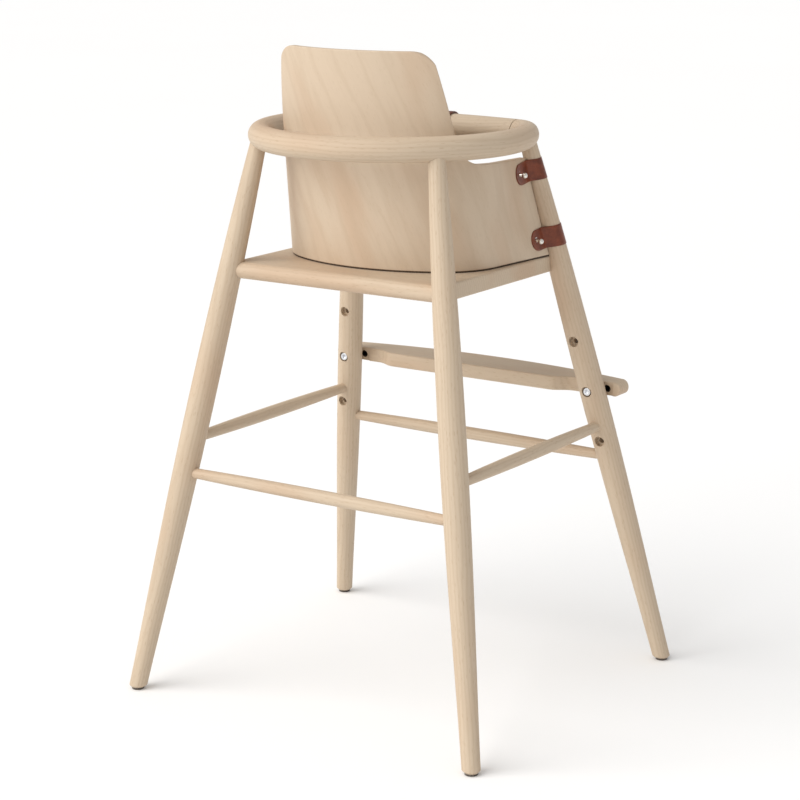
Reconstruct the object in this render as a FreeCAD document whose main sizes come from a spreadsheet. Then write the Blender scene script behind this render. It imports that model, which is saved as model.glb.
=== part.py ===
import FreeCAD, Part
import math
import os
import Sketcher
from FreeCAD import Placement, Rotation, Vector

# Wooden baby high chair: four splayed legs under a bent arm ring, a board seat,
# a bent plywood back shell held by leather straps, a lift-off front bar and a
# footrest with three heights.  Millimetres.  +Z is up, the child faces -Y and
# +X is the child's left.  The origin is on the floor, midway between the left
# and right legs.  Left-hand pieces are modelled and the right-hand ones mirrored.

SIZES = {
    # arm ring and front bar
    "ring_over_seat": 150.0,      # seat's top face to the centre of the ring tube
    "ring_tube": 29.0,            # tube diameter of ring and bar
    "ring_radius": 158.0,         # plan radius of the round back of the ring
    "ring_centre_y": 19.8,        # centre of that radius
    "ring_turn_angle": 57.0,      # plan angle at which the front corner begins
    "ring_corner_radius": 32.0,
    "bar_end_angle": 10.0,        # half the angle that the bowed bar turns through
    "bar_gap": 1.1,               # between bar and ring end
    "bar_stud_neck": 5.0,
    "bar_stud_head": 10.0,
    "bar_stud_head_thick": 3.0,
    "bar_stud_reach": 9.0,        # how far the stud reaches into the bar
    "bar_stud_sunk": 14.0,        # how far it is sunk into the ring's end
    "bar_slot_clearance": 0.4,
    # legs
    "foot_x": 244.0,
    "rear_foot_y": 227.6,
    "front_foot_wider": 5.7,      # front feet stand this much wider than the rear ones
    "front_foot_y": 227.6,
    "rear_leg_angle": 51.4,       # plan angle of the rear leg top on the ring
    "front_leg_angle": 33.0,      # plan angle of the front leg top on the corner
    "front_leg_lead": 3.5,        # front leg top stands this far forward of the tube
    "leg_foot_dia": 21.5,
    "leg_low_dia": 26.8,
    "leg_mid_dia": 31.4,
    "leg_full_dia": 31.8,
    "leg_high_dia": 30.0,
    "leg_neck_dia": 26.2,
    "leg_top_dia": 18.6,
    "foot_chamfer": 2.4,
    "glide_dia": 15.0,
    "glide_thick": 3.0,
    "joint_dowel_dia": 8.0,
    "joint_dowel_length": 38.0,
    "seat_dowel_start": 6.0,      # seat dowel begins this far outside the leg's axis
    # seat
    "seat_height": 534.0,         # floor to the top face
    "seat_thick": 20.0,
    "seat_half_width": 148.0,
    "seat_rear_overhang": 6.0,    # seat edge beyond the leg axis
    "seat_side_round": 2.5,
    # stretchers
    "stretcher_end_dia": 12.0,
    "stretcher_mid_dia": 16.0,
    "side_stretcher_height": 317.0,
    "cross_stretcher_height": 276.0,
    "stretcher_stop": 3.0,        # stretcher end short of the leg axis
    # footrest and its bolts
    "footrest_drop": 171.7,       # seat's top face to the bolt line of the middle holes
    "footrest_step": 64.3,        # height between the mounting holes
    "footrest_thick": 18.0,
    "footrest_half_length": 213.5,
    "footrest_front_y": 213.2,    # front edge at the middle
    "footrest_end_front_y": 187.2,
    "footrest_mid_depth": 61.0,
    "footrest_mid_half": 116.0,
    "footrest_blend": 34.0,
    "footrest_seat_depth": 2.0,   # groove in which the leg sits
    "footrest_clearance": 0.3,
    "footrest_round": 2.0,
    "bolt_dia": 6.0,
    "bolt_hole": 6.6,
    "bolt_head_dia": 10.0,
    "bolt_head_height": 6.0,
    "bolt_socket": 5.0,
    "bolt_socket_floor": 2.5,
    "bolt_reach": 16.0,           # thread inside the footrest
    "counterbore_dia": 13.0,
    "counterbore_depth": 7.5,
    "insert_dia": 9.5,
    "insert_length": 13.0,
    "insert_clearance": 0.08,
    # back shell
    "shell_gap": 2.0,             # thickness of the felt under the shell
    "shell_felt_inset": 1.2,      # felt's edge inside the shell's faces
    "shell_thick": 9.0,
    "shell_back_y": 104.3,        # outer face at the middle, at the seat
    "shell_lean": 0.10,           # backward lean, per unit of height
    "shell_back_radius": 200.0,
    "shell_back_angle": 30.0,
    "shell_corner_radius": 80.0,
    "shell_corner_angle": 85.3,
    "shell_corner_twist": 0.112,  # extra corner angle per millimetre of height
    "shell_height": 254.0,
    "shell_top_round": 33.0,
    "shell_side_height": 125.0,
    "shell_side_slope": 0.050,    # fall of the side's top edge, per unit towards the front
    "shell_notch_y": 65.4,        # where the side's top edge meets the back's edge
    "shell_notch_round": 29.0,
    "shell_edge_lean": 0.257,
    "shell_leg_gap": 1.2,         # front edge to leg
    "shell_edge_ease": 1.0,
    # leather straps round the front legs
    "strap_width": 26.0,
    "strap_thick": 2.4,
    "strap_gap": 0.5,
    "strap_tilt": 0.5,            # share of the leg's lean that the straps follow
    "strap_upper_rise": 94.0,     # lower edge above the seat's top face, on the leg's axis
    "strap_lower_rise": 13.0,
    "strap_upper_tail": 38.0,     # length on the shell, behind its front edge
    "strap_upper_stud": 28.5,     # stud behind the front edge
    "strap_lower_tail": 30.0,
    "strap_lower_stud": 20.5,
    "strap_landing": 4.0,         # where the strap meets the shell's face
    "strap_hole": 9.0,
    "strap_slit": 4.0,            # the hole's extra length towards the leg
    "stud_ball": 7.0,
    "stud_neck": 4.4,
    "stud_flange": 9.0,
    "stud_flange_thick": 0.8,
    "stud_screw_head": 8.0,
    "stud_screw_head_thick": 1.6,
    # crotch strap
    "crotch_width": 30.0,
    "crotch_tail": 34.0,          # below the seat's middle line
    "bar_lift": 22.0,
}

doc = FreeCAD.newDocument("high_chair")
sheet = doc.addObject("Spreadsheet::Sheet", "Sizes")
for row, (name, value) in enumerate(SIZES.items(), start=1):
    sheet.set(f"A{row}", name)
    sheet.set(f"B{row}", str(value))
    sheet.setAlias(f"B{row}", name)
doc.recompute()

X, Y, Z = Vector(1, 0, 0), Vector(0, 1, 0), Vector(0, 0, 1)
nodes = []
EPS = 0.02      # overshoot that keeps two cutting faces apart
WIDE = 400      # half-length of a cutting tool that spans the chair
THROUGH = 60    # length of a cutting tool that passes through one piece
STUD_SHARE = 0.6        # share of the shell's wall that a strap stud takes
INSERT_SUNK = 0.3       # insert below the groove's sloping floor


def size(name):
    """A driving size, read from the sheet."""
    return float(sheet.get(name))


def polar(radius, angle):
    """Plan vector at an angle in degrees from +Y towards +X."""
    turn = math.radians(angle)
    return Vector(radius * math.sin(turn), radius * math.cos(turn), 0)


def node(thing, name):
    """Name a finished object and list it as a separate piece."""
    thing.Label = name
    nodes.append(thing)
    return thing


def mirrored(thing, name):
    """The right-hand copy of a left-hand piece."""
    copy = doc.addObject("Part::Mirroring", "Mirror_" + name)
    copy.Source, copy.Normal, copy.Base = thing, X, Vector()
    return node(copy, name)


def pair(thing, stem):
    """List a left-hand piece and its mirrored right-hand one."""
    node(thing, stem + "_left")
    return mirrored(thing, stem + "_right")


def cut(base, *tools):
    """Take each tool out of a piece."""
    for tool in tools:
        result = doc.addObject("Part::Cut", "Cut")
        result.Base, result.Tool = base, tool
        base = result
    return base


def fuse(*things):
    """Join several shapes into one."""
    result = doc.addObject("Part::MultiFuse", "Fuse")
    result.Shapes = list(things)
    return result


def group(*things):
    """Hold separate solids together in one object."""
    result = doc.addObject("Part::Compound", "Group")
    result.Links = list(things)
    return result


def common(base, tool):
    """The part that two shapes share."""
    result = doc.addObject("Part::Common", "Common")
    result.Base, result.Tool = base, tool
    return result


def cylinder(start, direction, diameter, length):
    """A round rod; diameter and length are numbers or sheet expressions."""
    rod = doc.addObject("Part::Cylinder", "Rod")
    if isinstance(diameter, str):
        rod.setExpression("Radius", f"({diameter}) / 2")
    else:
        rod.Radius = diameter / 2
    if isinstance(length, str):
        rod.setExpression("Height", length)
    else:
        rod.Height = length
    rod.Placement = Placement(start, Rotation(Z, direction))
    return rod


def box(corner, extent, rotation=None):
    """A block with its low corner and its three lengths."""
    block = doc.addObject("Part::Box", "Block")
    block.Length, block.Width, block.Height = extent.x, extent.y, extent.z
    block.Placement = Placement(corner, rotation or Rotation())
    return block


def origin_plane(body, role):
    return next(item for item in body.Origin.OriginFeatures if item.Role == role)


def sketch_on(body, role, name, offset=0.0):
    """An empty sketch on one of a body's origin planes."""
    sketch = body.newObject("Sketcher::SketchObject", name)
    sketch.AttachmentSupport = [(origin_plane(body, role), "")]
    sketch.MapMode = "FlatFace"
    sketch.AttachmentOffset = Placement(Vector(0, 0, offset), Rotation())
    return sketch


def circle_in(sketch, centre, cell):
    """A circle whose diameter is bound to a cell of the sheet."""
    circle = Part.Circle(centre, Z, size(cell) / 2)
    index = sketch.addGeometry(circle, False)
    number = sketch.addConstraint(Sketcher.Constraint("Diameter", index, size(cell)))
    sketch.setExpression(f"Constraints[{number}]", f"Sizes.{cell}")


def arc_in(sketch, centre, radius, first, last):
    """An arc from one plan angle to another, measured from +Y towards +X."""
    circle = Part.Circle(centre, Z, radius)
    start, end = math.radians(90 - last), math.radians(90 - first)
    return sketch.addGeometry(Part.ArcOfCircle(circle, start, end), False)


def closed_sketch(name, height, edges):
    """A free sketch of ready-made edges in a level plane."""
    sketch = doc.addObject("Sketcher::SketchObject", name)
    sketch.Placement = Placement(Vector(0, 0, height), Rotation())
    for edge in edges:
        sketch.addGeometry(edge, False)
    return sketch


def lines_through(points):
    """Straight edges round a closed outline."""
    return [Part.LineSegment(a, b) for a, b in zip(points, points[1:] + points[:1])]


def extrusion(sketch, direction, length):
    """A solid swept straight from a closed sketch, along any direction."""
    solid = doc.addObject("Part::Extrusion", "Sweep")
    solid.Base, solid.DirMode, solid.Dir = sketch, "Custom", direction
    solid.LengthFwd, solid.Solid = length, True
    return solid


def spindle(name, start, end, sections):
    """A turned rod: round sections at fractions of its length, smoothly joined."""
    body = doc.addObject("PartDesign::Body", name)
    axis = end - start
    rings = []
    for index, (share, cell) in enumerate(sections):
        sketch = sketch_on(body, "XY_Plane", f"{name}Section{index}", share * axis.Length)
        circle_in(sketch, Vector(), cell)
        rings.append(sketch)
    turned = body.newObject("PartDesign::AdditiveLoft", name + "Turned")
    turned.Profile, turned.Sections = rings[0], rings[1:]
    body.Placement = Placement(start, Rotation(Z, axis))
    doc.recompute()
    return body


def edges_where(shape, test):
    """Names of the edges that pass a test."""
    return [f"Edge{i}" for i, edge in enumerate(shape.Edges, start=1) if test(edge)]


def middle(edge):
    return edge.valueAt((edge.FirstParameter + edge.LastParameter) / 2)


def add_round(body, feature, name, radius, test):
    """Fillet the edges of a body's last feature that pass a test."""
    doc.recompute()
    fillet = body.newObject("PartDesign::Fillet", name)
    fillet.Base = (feature, edges_where(feature.Shape, test))
    fillet.setExpression("Radius", radius)
    body.Tip = fillet
    return fillet


# ---------------------------------------------------------------- frame lines
ring_z = size("seat_height") + size("ring_over_seat")
tube_radius = size("ring_tube") / 2
ring_centre = Vector(0, size("ring_centre_y"), ring_z)
turn_angle = 180 - size("ring_turn_angle")
corner_radius = size("ring_corner_radius")
corner_centre = ring_centre + polar(size("ring_radius") - corner_radius, turn_angle)
ring_end_angle = 180 - size("bar_end_angle")
ring_end = corner_centre + polar(corner_radius, ring_end_angle)
bar_radius = ring_end.x / math.sin(math.radians(size("bar_end_angle")))
bar_centre = Vector(0, ring_end.y + bar_radius * math.cos(math.radians(size("bar_end_angle"))), ring_z)
bar_middle_y = bar_centre.y - bar_radius

rear_top = ring_centre + polar(size("ring_radius"), size("rear_leg_angle"))
front_top = corner_centre + polar(corner_radius, 180 - size("front_leg_angle"))
front_top.y -= size("front_leg_lead")
rear_foot = Vector(size("foot_x"), size("rear_foot_y"), 0)
front_foot = Vector(size("foot_x") + size("front_foot_wider"), -size("front_foot_y"), 0)
LEG_SECTIONS = (
    (-0.01, "leg_foot_dia"), (0.21, "leg_low_dia"), (0.42, "leg_mid_dia"), (0.56, "leg_full_dia"),
    (0.70, "leg_high_dia"), (0.84, "leg_neck_dia"), (1.0, "leg_top_dia"),
)


def on_leg(foot, top, height):
    """The point of a leg's axis at a height."""
    return foot + (top - foot) * (height / ring_z)


def leg_radius(height):
    """A leg's radius at a height, between the nearest two sections."""
    share = height / ring_z
    for (low, low_cell), (high, high_cell) in zip(LEG_SECTIONS, LEG_SECTIONS[1:]):
        if share <= high:
            part = (share - low) / (high - low)
            return (size(low_cell) * (1 - part) + size(high_cell) * part) / 2
    return size("leg_top_dia") / 2


# ---------------------------------------------------------------- arm ring, bar
def half_pipe(name, arcs, start_centre):
    """Half of a bent tube from its middle, mirrored to the other side."""
    body = doc.addObject("PartDesign::Body", name)
    path = sketch_on(body, "XY_Plane", name + "Path", ring_z)
    for centre, radius, first, last in arcs:
        index = arc_in(path, Vector(centre.x, centre.y, 0), radius, first, last)
        path.addConstraint(Sketcher.Constraint("Radius", index, radius))
    section = sketch_on(body, "YZ_Plane", name + "Section")
    circle_in(section, start_centre, "ring_tube")
    pipe = body.newObject("PartDesign::AdditivePipe", name + "Pipe")
    doc.recompute()
    pipe.Profile = section
    pipe.Spine = (path, [f"Edge{i + 1}" for i in range(len(arcs))])
    doc.recompute()
    whole = body.newObject("PartDesign::Mirrored", name + "Whole")
    whole.Originals, whole.MirrorPlane = [pipe], (origin_plane(body, "YZ_Plane"), [""])
    body.Tip = whole
    doc.recompute()
    return body


ring_body = half_pipe(
    "ArmRing",
    [(ring_centre, size("ring_radius"), 0, turn_angle),
     (corner_centre, corner_radius, turn_angle, ring_end_angle)],
    Vector(size("ring_centre_y") + size("ring_radius"), ring_z, 0))
bar_trim = math.degrees(size("bar_gap") / bar_radius)
bar_body = half_pipe(
    "FrontBar",
    [(bar_centre, bar_radius, ring_end_angle + bar_trim, 180)],
    Vector(bar_middle_y, ring_z, 0))

# headed studs in the ring ends, on which the bar hangs by slots open downward
bar_axis = polar(1, ring_end_angle + 90)
bar_axis = bar_axis if bar_axis.x < 0 else bar_axis * -1
stud_neck = cylinder(ring_end - bar_axis * size("bar_stud_sunk"), bar_axis, "Sizes.bar_stud_neck",
                     "Sizes.bar_stud_sunk + Sizes.bar_stud_reach")
stud_head = cylinder(ring_end + bar_axis * (size("bar_stud_reach") - size("bar_stud_head_thick")),
                     bar_axis, "Sizes.bar_stud_head", "Sizes.bar_stud_head_thick")
bar_stud = fuse(stud_neck, stud_head)
bar_stud_right = doc.addObject("Part::Mirroring", "BarStudRight")
bar_stud_right.Source, bar_stud_right.Normal = bar_stud, X
node(group(bar_stud, bar_stud_right), "bar_studs")


def slot_block(width, first, last, drop):
    """A slot in the bar's end: as wide as given, open at the bottom."""
    turn = Rotation(X, bar_axis)
    corner = ring_end + bar_axis * first + turn.multVec(Vector(0, -width / 2, 0)) - Z * drop
    return box(corner, Vector(last - first, width, drop), turn)


slot_play = size("bar_slot_clearance")
neck_slot = size("bar_stud_neck") + 2 * slot_play
head_slot = size("bar_stud_head") + 2 * slot_play
head_start = size("bar_stud_reach") - size("bar_stud_head_thick") - slot_play
head_stop = size("bar_stud_reach") + slot_play
below = tube_radius + 2
bar_slots = fuse(
    slot_block(neck_slot, -1, head_start + EPS, below),
    slot_block(head_slot, head_start, head_stop, below),
    cylinder(ring_end - bar_axis, bar_axis, neck_slot, head_start + 1 + EPS),
    cylinder(ring_end + bar_axis * head_start, bar_axis, head_slot, head_stop - head_start))
bar_slots_right = doc.addObject("Part::Mirroring", "BarSlotsRight")
bar_slots_right.Source, bar_slots_right.Normal = bar_slots, X

# ---------------------------------------------------------------- legs
rear_blank = spindle("RearLeg", rear_foot, rear_top, LEG_SECTIONS)
front_blank = spindle("FrontLeg", front_foot, front_top, LEG_SECTIONS)
rear_blank_right = doc.addObject("Part::Mirroring", "RearBlankRight")
rear_blank_right.Source, rear_blank_right.Normal = rear_blank, X
front_blank_right = doc.addObject("Part::Mirroring", "FrontBlankRight")
front_blank_right.Source, front_blank_right.Normal = front_blank, X

# stretchers between the legs
STRETCHER_SECTIONS = ((0.0, "stretcher_end_dia"), (0.5, "stretcher_mid_dia"), (1.0, "stretcher_end_dia"))


def stretcher(name, first, last):
    """A rail from one leg axis to another, stopping short of both."""
    step = (last - first).normalize() * size("stretcher_stop")
    return spindle(name, first + step, last - step, STRETCHER_SECTIONS)


cross_z, side_z = size("cross_stretcher_height"), size("side_stretcher_height")
rear_low = on_leg(rear_foot, rear_top, cross_z)
front_low = on_leg(front_foot, front_top, cross_z)
flip = Vector(-1, 1, 1)
rear_rail = stretcher("RearStretcher", Vector(-rear_low.x, rear_low.y, cross_z), rear_low)
front_rail = stretcher("FrontStretcher", Vector(-front_low.x, front_low.y, cross_z), front_low)
side_rail = stretcher("SideStretcher", on_leg(front_foot, front_top, side_z),
                      on_leg(rear_foot, rear_top, side_z))
node(rear_rail, "stretcher_rear")
node(front_rail, "stretcher_front")
pair(side_rail, "stretcher")

# hidden dowels: leg top into ring, and seat corner into leg
dowel_length = size("joint_dowel_length")
seat_mid = size("seat_height") - size("seat_thick") / 2


def ring_dowel(foot, top):
    """A dowel along a leg's axis, half in the leg and half in the ring."""
    axis = (top - foot).normalize()
    start = top - axis * (dowel_length + size("bar_stud_neck"))
    return cylinder(start, axis, "Sizes.joint_dowel_dia", "Sizes.joint_dowel_length")


def seat_dowel(foot, top):
    """A level dowel from inside a leg diagonally into the seat's corner."""
    axis_point = on_leg(foot, top, seat_mid)
    inward = Vector(-axis_point.x, -axis_point.y, 0).normalize()
    return cylinder(axis_point - inward * size("seat_dowel_start"), inward,
                    "Sizes.joint_dowel_dia", "Sizes.joint_dowel_length")


rear_ring_dowel, front_ring_dowel = ring_dowel(rear_foot, rear_top), ring_dowel(front_foot, front_top)
rear_seat_dowel, front_seat_dowel = seat_dowel(rear_foot, rear_top), seat_dowel(front_foot, front_top)


def both_sides(*things):
    """Left-hand solids and their mirror images in one group."""
    left = group(*things)
    right = doc.addObject("Part::Mirroring", "OtherSide")
    right.Source, right.Normal = left, X
    return group(left, right)


ring_dowels = node(both_sides(rear_ring_dowel, front_ring_dowel), "ring_dowels")
seat_dowels = node(both_sides(rear_seat_dowel, front_seat_dowel), "seat_dowels")

# mounting holes through the front legs, front to back, at three heights
middle_z, step_z = size("seat_height") - size("footrest_drop"), size("footrest_step")
hole_heights = (middle_z - step_z, middle_z, middle_z + step_z)


def hole_point(height):
    return on_leg(front_foot, front_top, height)


def mounting_hole(height):
    """A through hole with a counterbore in the leg's rear face."""
    centre, radius = hole_point(height), leg_radius(height)
    through = cylinder(centre - Y * THROUGH / 2, Y, "Sizes.bolt_hole", THROUGH)
    floor = centre + Y * (radius - size("counterbore_depth"))
    return fuse(through, cylinder(floor, Y, "Sizes.counterbore_dia", THROUGH / 2))


leg_holes = [mounting_hole(height) for height in hole_heights]
floor_block = box(Vector(0, -WIDE, -THROUGH), Vector(WIDE, 2 * WIDE, THROUGH + size("glide_thick")))


def finished_leg(blank, *tools):
    """A leg with a level, chamfered foot and all its sockets cut."""
    footed = cut(blank, floor_block)
    doc.recompute()
    low = edges_where(footed.Shape, lambda e: middle(e).z < size("glide_thick") + 0.1)
    chamfer = doc.addObject("Part::Chamfer", "FootChamfer")
    chamfer.Base = footed
    chamfer.Edges = [(int(name[4:]), size("foot_chamfer"), size("foot_chamfer")) for name in low]
    return cut(chamfer, ring_body, *tools)


rear_leg = finished_leg(rear_blank, rear_rail, side_rail, rear_ring_dowel, rear_seat_dowel)
front_leg = finished_leg(front_blank, front_rail, side_rail, front_ring_dowel, front_seat_dowel,
                         *leg_holes)
pair(rear_leg, "leg_rear")
pair(front_leg, "leg_front")
node(cut(ring_body, ring_dowels, bar_stud, bar_stud_right), "arm_ring")
node(cut(bar_body, bar_slots, bar_slots_right), "front_bar")


def glide(foot, top):
    """A round glide under a foot."""
    at = on_leg(foot, top, size("glide_thick"))
    return cylinder(Vector(at.x, at.y, 0), Z, "Sizes.glide_dia", "Sizes.glide_thick")


node(both_sides(glide(rear_foot, rear_top), glide(front_foot, front_top)), "foot_glides")

# ---------------------------------------------------------------- seat
seat_rear_y = on_leg(rear_foot, rear_top, seat_mid).y + size("seat_rear_overhang")
seat_front_y = on_leg(front_foot, front_top, seat_mid).y - size("seat_rear_overhang")
seat_half = size("seat_half_width")
seat_body = doc.addObject("PartDesign::Body", "SeatBoard")
seat_sketch = sketch_on(seat_body, "XY_Plane", "SeatOutline")
corners = [Vector(-seat_half, seat_front_y, 0), Vector(seat_half, seat_front_y, 0),
           Vector(seat_half, seat_rear_y, 0), Vector(-seat_half, seat_rear_y, 0)]
for edge in lines_through(corners):
    seat_sketch.addGeometry(edge, False)
seat_pad = seat_body.newObject("PartDesign::Pad", "SeatPad")
seat_pad.Profile = seat_sketch
seat_pad.setExpression("Length", "Sizes.seat_thick")
seat_nose = add_round(seat_body, seat_pad, "SeatNose", "Sizes.seat_thick / 2 - 0.1",
                      lambda e: abs(middle(e).x) < 1)
add_round(seat_body, seat_nose, "SeatSides", "Sizes.seat_side_round",
          lambda e: abs(abs(middle(e).x) - seat_half) < 0.01 and abs(middle(e).y) < 60)
seat_body.Placement = Placement(Vector(0, 0, size("seat_height") - size("seat_thick")), Rotation())

# ---------------------------------------------------------------- back shell
shell_base = size("seat_height") + size("shell_gap")
shell_wall = size("shell_thick")


def shell_frame(rise):
    """Arc centres, corner angle and side length of the shell's plan at a height."""
    back = Vector(0, size("shell_back_y") + size("shell_lean") * rise, 0)
    centre = back - polar(size("shell_back_radius"), 0)
    bend = centre + polar(size("shell_back_radius") - size("shell_corner_radius"), size("shell_back_angle"))
    angle = size("shell_corner_angle") + size("shell_corner_twist") * rise
    height = shell_base + rise
    front_y = on_leg(front_foot, front_top, height).y + leg_radius(height) + size("shell_leg_gap")
    side_start = bend + polar(size("shell_corner_radius"), angle)
    side = (side_start.y - front_y) / math.sin(math.radians(angle))
    return centre, bend, angle, side


def shell_point(rise, side_back, depth):
    """A point of the shell's side: behind its front edge, under its outer face."""
    centre, bend, angle, side = shell_frame(rise)
    start = bend + polar(size("shell_corner_radius") - depth, angle)
    along = polar(1, angle + 90)
    point = start + along * (side - side_back)
    return Vector(point.x, point.y, shell_base + rise)


def mirror_x(point):
    """The same point on the right-hand side."""
    return Vector(-point.x, point.y, point.z)


def shell_line(rise, depth):
    """One face of the shell in plan, from the left front edge to the right."""
    centre, bend, angle, side = shell_frame(rise)
    level = Z * (shell_base + rise)
    big, small = size("shell_back_radius") - depth, size("shell_corner_radius") - depth
    split = size("shell_back_angle")
    front = shell_point(rise, 0, depth)
    tangent = level + bend + polar(small, angle)
    knee = level + bend + polar(small, (angle + split) / 2)
    joint = level + centre + polar(big, split)
    crown = level + centre + polar(big, 0)
    return [Part.LineSegment(front, tangent), Part.Arc(tangent, knee, joint),
            Part.Arc(joint, crown, mirror_x(joint)),
            Part.Arc(mirror_x(joint), mirror_x(knee), mirror_x(tangent)),
            Part.LineSegment(mirror_x(tangent), mirror_x(front))]


def shell_section(rise, inset=0.0):
    """The closed plan outline of the shell at a height, or one inside its faces."""
    depths = inset, shell_wall - inset
    curves = shell_line(rise, depths[0]) + shell_line(rise, depths[1])
    left = [shell_point(rise, 0, depth) for depth in depths]
    curves += [Part.LineSegment(*left), Part.LineSegment(*[mirror_x(point) for point in left])]
    return Part.Wire(Part.__sortEdges__([curve.toShape() for curve in curves]))


side_rise = size("shell_side_height")
top_rise = size("shell_height")
shell_blank = doc.addObject("Part::Feature", "ShellBlank")
shell_blank.Shape = Part.makeLoft(
    [shell_section(rise) for rise in (0, side_rise, top_rise + shell_wall)], True, False)
shell_felt = doc.addObject("Part::Feature", "ShellFelt")
shell_felt.Shape = Part.makeLoft(
    [shell_section(rise, size("shell_felt_inset")) for rise in (-size("shell_gap"), 0)], True, True)
node(shell_felt, "shell_felt")


def upright_tool(name, points, round_at, radius, normal, reach):
    """A cutting block swept sideways from an outline, with one rounded corner."""
    wire = Part.makePolygon(points + points[:1])
    face = Part.Face(wire).extrude(normal * reach)
    if radius:
        rounded = [e for e in face.Edges
                   if (middle(e) - round_at - normal * reach / 2).Length < 1]
        face = face.makeFillet(radius, rounded)
    tool = doc.addObject("Part::Feature", name)
    tool.Shape = face
    return tool


notch = Vector(-WIDE, size("shell_notch_y"), shell_base + side_rise)
notch_run = notch.y + WIDE
notch_over = top_rise + THROUGH - side_rise
notch_tool = upright_tool(
    "ShellNotch",
    [notch - Vector(0, notch_run, size("shell_side_slope") * notch_run), notch,
     notch + Vector(0, size("shell_edge_lean") * notch_over, notch_over),
     notch + Vector(0, -notch_run, notch_over)],
    notch, size("shell_notch_round"), X, 2 * WIDE)
top_z = shell_base + top_rise


def back_edge_x(rise):
    """Half the width of the back panel at a height above the sides."""
    centre, bend, angle, side = shell_frame(rise)
    edge_y = size("shell_notch_y") + size("shell_edge_lean") * (rise - side_rise)
    turn = math.acos((edge_y - bend.y) / size("shell_corner_radius"))
    return bend.x + size("shell_corner_radius") * math.sin(turn)


top_half = back_edge_x(top_rise - size("shell_top_round"))


def shell_top_tool():
    """Everything above the shell's top edge and outside its rounded corners."""
    corner = size("shell_top_round")
    bevel = corner * (1 - math.sqrt(0.5))
    end = Vector(-top_half, -WIDE, top_z - corner)
    start = Vector(-top_half + corner, -WIDE, top_z)
    turn = Vector(-top_half + bevel, -WIDE, top_z - bevel)
    low = Vector(-WIDE, -WIDE, end.z)
    high = Vector(-WIDE, -WIDE, top_z + THROUGH)
    edges = [Part.Arc(end, turn, start), Part.LineSegment(start, mirror_x(start)),
             Part.Arc(mirror_x(start), mirror_x(turn), mirror_x(end)),
             Part.LineSegment(mirror_x(end), mirror_x(low)),
             Part.LineSegment(mirror_x(low), mirror_x(high)),
             Part.LineSegment(mirror_x(high), high),
             Part.LineSegment(high, low), Part.LineSegment(low, end)]
    wire = Part.Wire([edge.toShape() for edge in edges])
    tool = doc.addObject("Part::Feature", "ShellTop")
    tool.Shape = Part.Face(wire).extrude(Y * 2 * WIDE)
    return tool


# ---------------------------------------------------------------- straps and studs
leather, strap_gap = size("strap_thick"), size("strap_gap")
strap_width = size("strap_width")
leg_slope = (front_top - front_foot) * (1 / ring_z)
leg_stretch = math.hypot(1, leg_slope.x, leg_slope.y)


def stud_place(rise, stud_back):
    """Foot of a stud on the shell's outer face, and the way it points."""
    point = shell_point(rise, stud_back, 0)
    outward = polar(1, size("shell_corner_angle") + size("shell_corner_twist") * rise)
    return point, outward


def ball_stud(point, outward):
    """A headed stud: shank in the panel, flange, neck through the leather, ball."""
    flange_thick = size("stud_flange_thick")
    ball_radius = size("stud_ball") / 2
    sunk = shell_wall * STUD_SHARE
    centre = point + outward * (flange_thick + leather + 2 * strap_gap + ball_radius * 0.9)
    shank = cylinder(point - outward * sunk, outward, "Sizes.stud_neck",
                     (centre - point).Length + sunk)
    flange = cylinder(point, outward, "Sizes.stud_flange", "Sizes.stud_flange_thick")
    ball = doc.addObject("Part::Sphere", "Ball")
    ball.setExpression("Radius", "Sizes.stud_ball / 2")
    ball.Placement = Placement(centre, Rotation())
    return fuse(shank, flange, ball)


def stud_screw(point, outward):
    """The screw that holds a stud from inside, through the strap's inner end."""
    inside = point - outward * (shell_wall + strap_gap + leather)
    head_thick = size("stud_screw_head_thick")
    head = cylinder(inside - outward * head_thick, outward, "Sizes.stud_screw_head", head_thick)
    shank = cylinder(inside, outward, "Sizes.stud_neck", shell_wall * (1 - STUD_SHARE) + leather)
    return fuse(head, shank)


def beside(points, offset):
    """A plan line moved to its right-hand side, or to its left if negative."""
    sides = []
    for first, last in zip(points, points[1:]):
        run = (last - first).normalize()
        sides.append(Vector(run.y, -run.x, 0))
    moved = [points[0] + sides[0] * offset]
    for corner, before, after in zip(points[1:], sides, sides[1:]):
        moved.append(corner + (before + after) * (offset / (1 + before.dot(after))))
    moved.append(points[-1] + sides[-1] * offset)
    return moved


def tangent_angle(centre, radius, point, side):
    """Plan angle where a line from the point touches the circle on one side."""
    away = point - centre
    away.z = 0
    bearing = math.degrees(math.atan2(away.x, away.y))
    return bearing + side * math.degrees(math.acos(radius / away.Length))


def strap_plane(height):
    """A strap's plane, tilted part of the way towards square to the leg."""
    lean = Vector(leg_slope.x, leg_slope.y, 0) * size("strap_tilt")
    return Placement(on_leg(front_foot, front_top, height), Rotation(Z, Z + lean))


def shell_in_plane(plane, side_back, depth):
    """A point of the shell's side that lies in a strap's plane, in that plane's own frame."""
    rise = plane.Base.z - shell_base
    for _ in range(6):
        local = plane.inverse().multVec(shell_point(rise, side_back, depth))
        rise -= local.z
    return Vector(local.x, local.y, 0)


def placed_wire(curves, plane):
    """A closed wire of curves drawn in a plane's own frame."""
    wire = Part.Wire([curve.toShape() for curve in curves])
    wire.Placement = plane
    return wire


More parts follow.
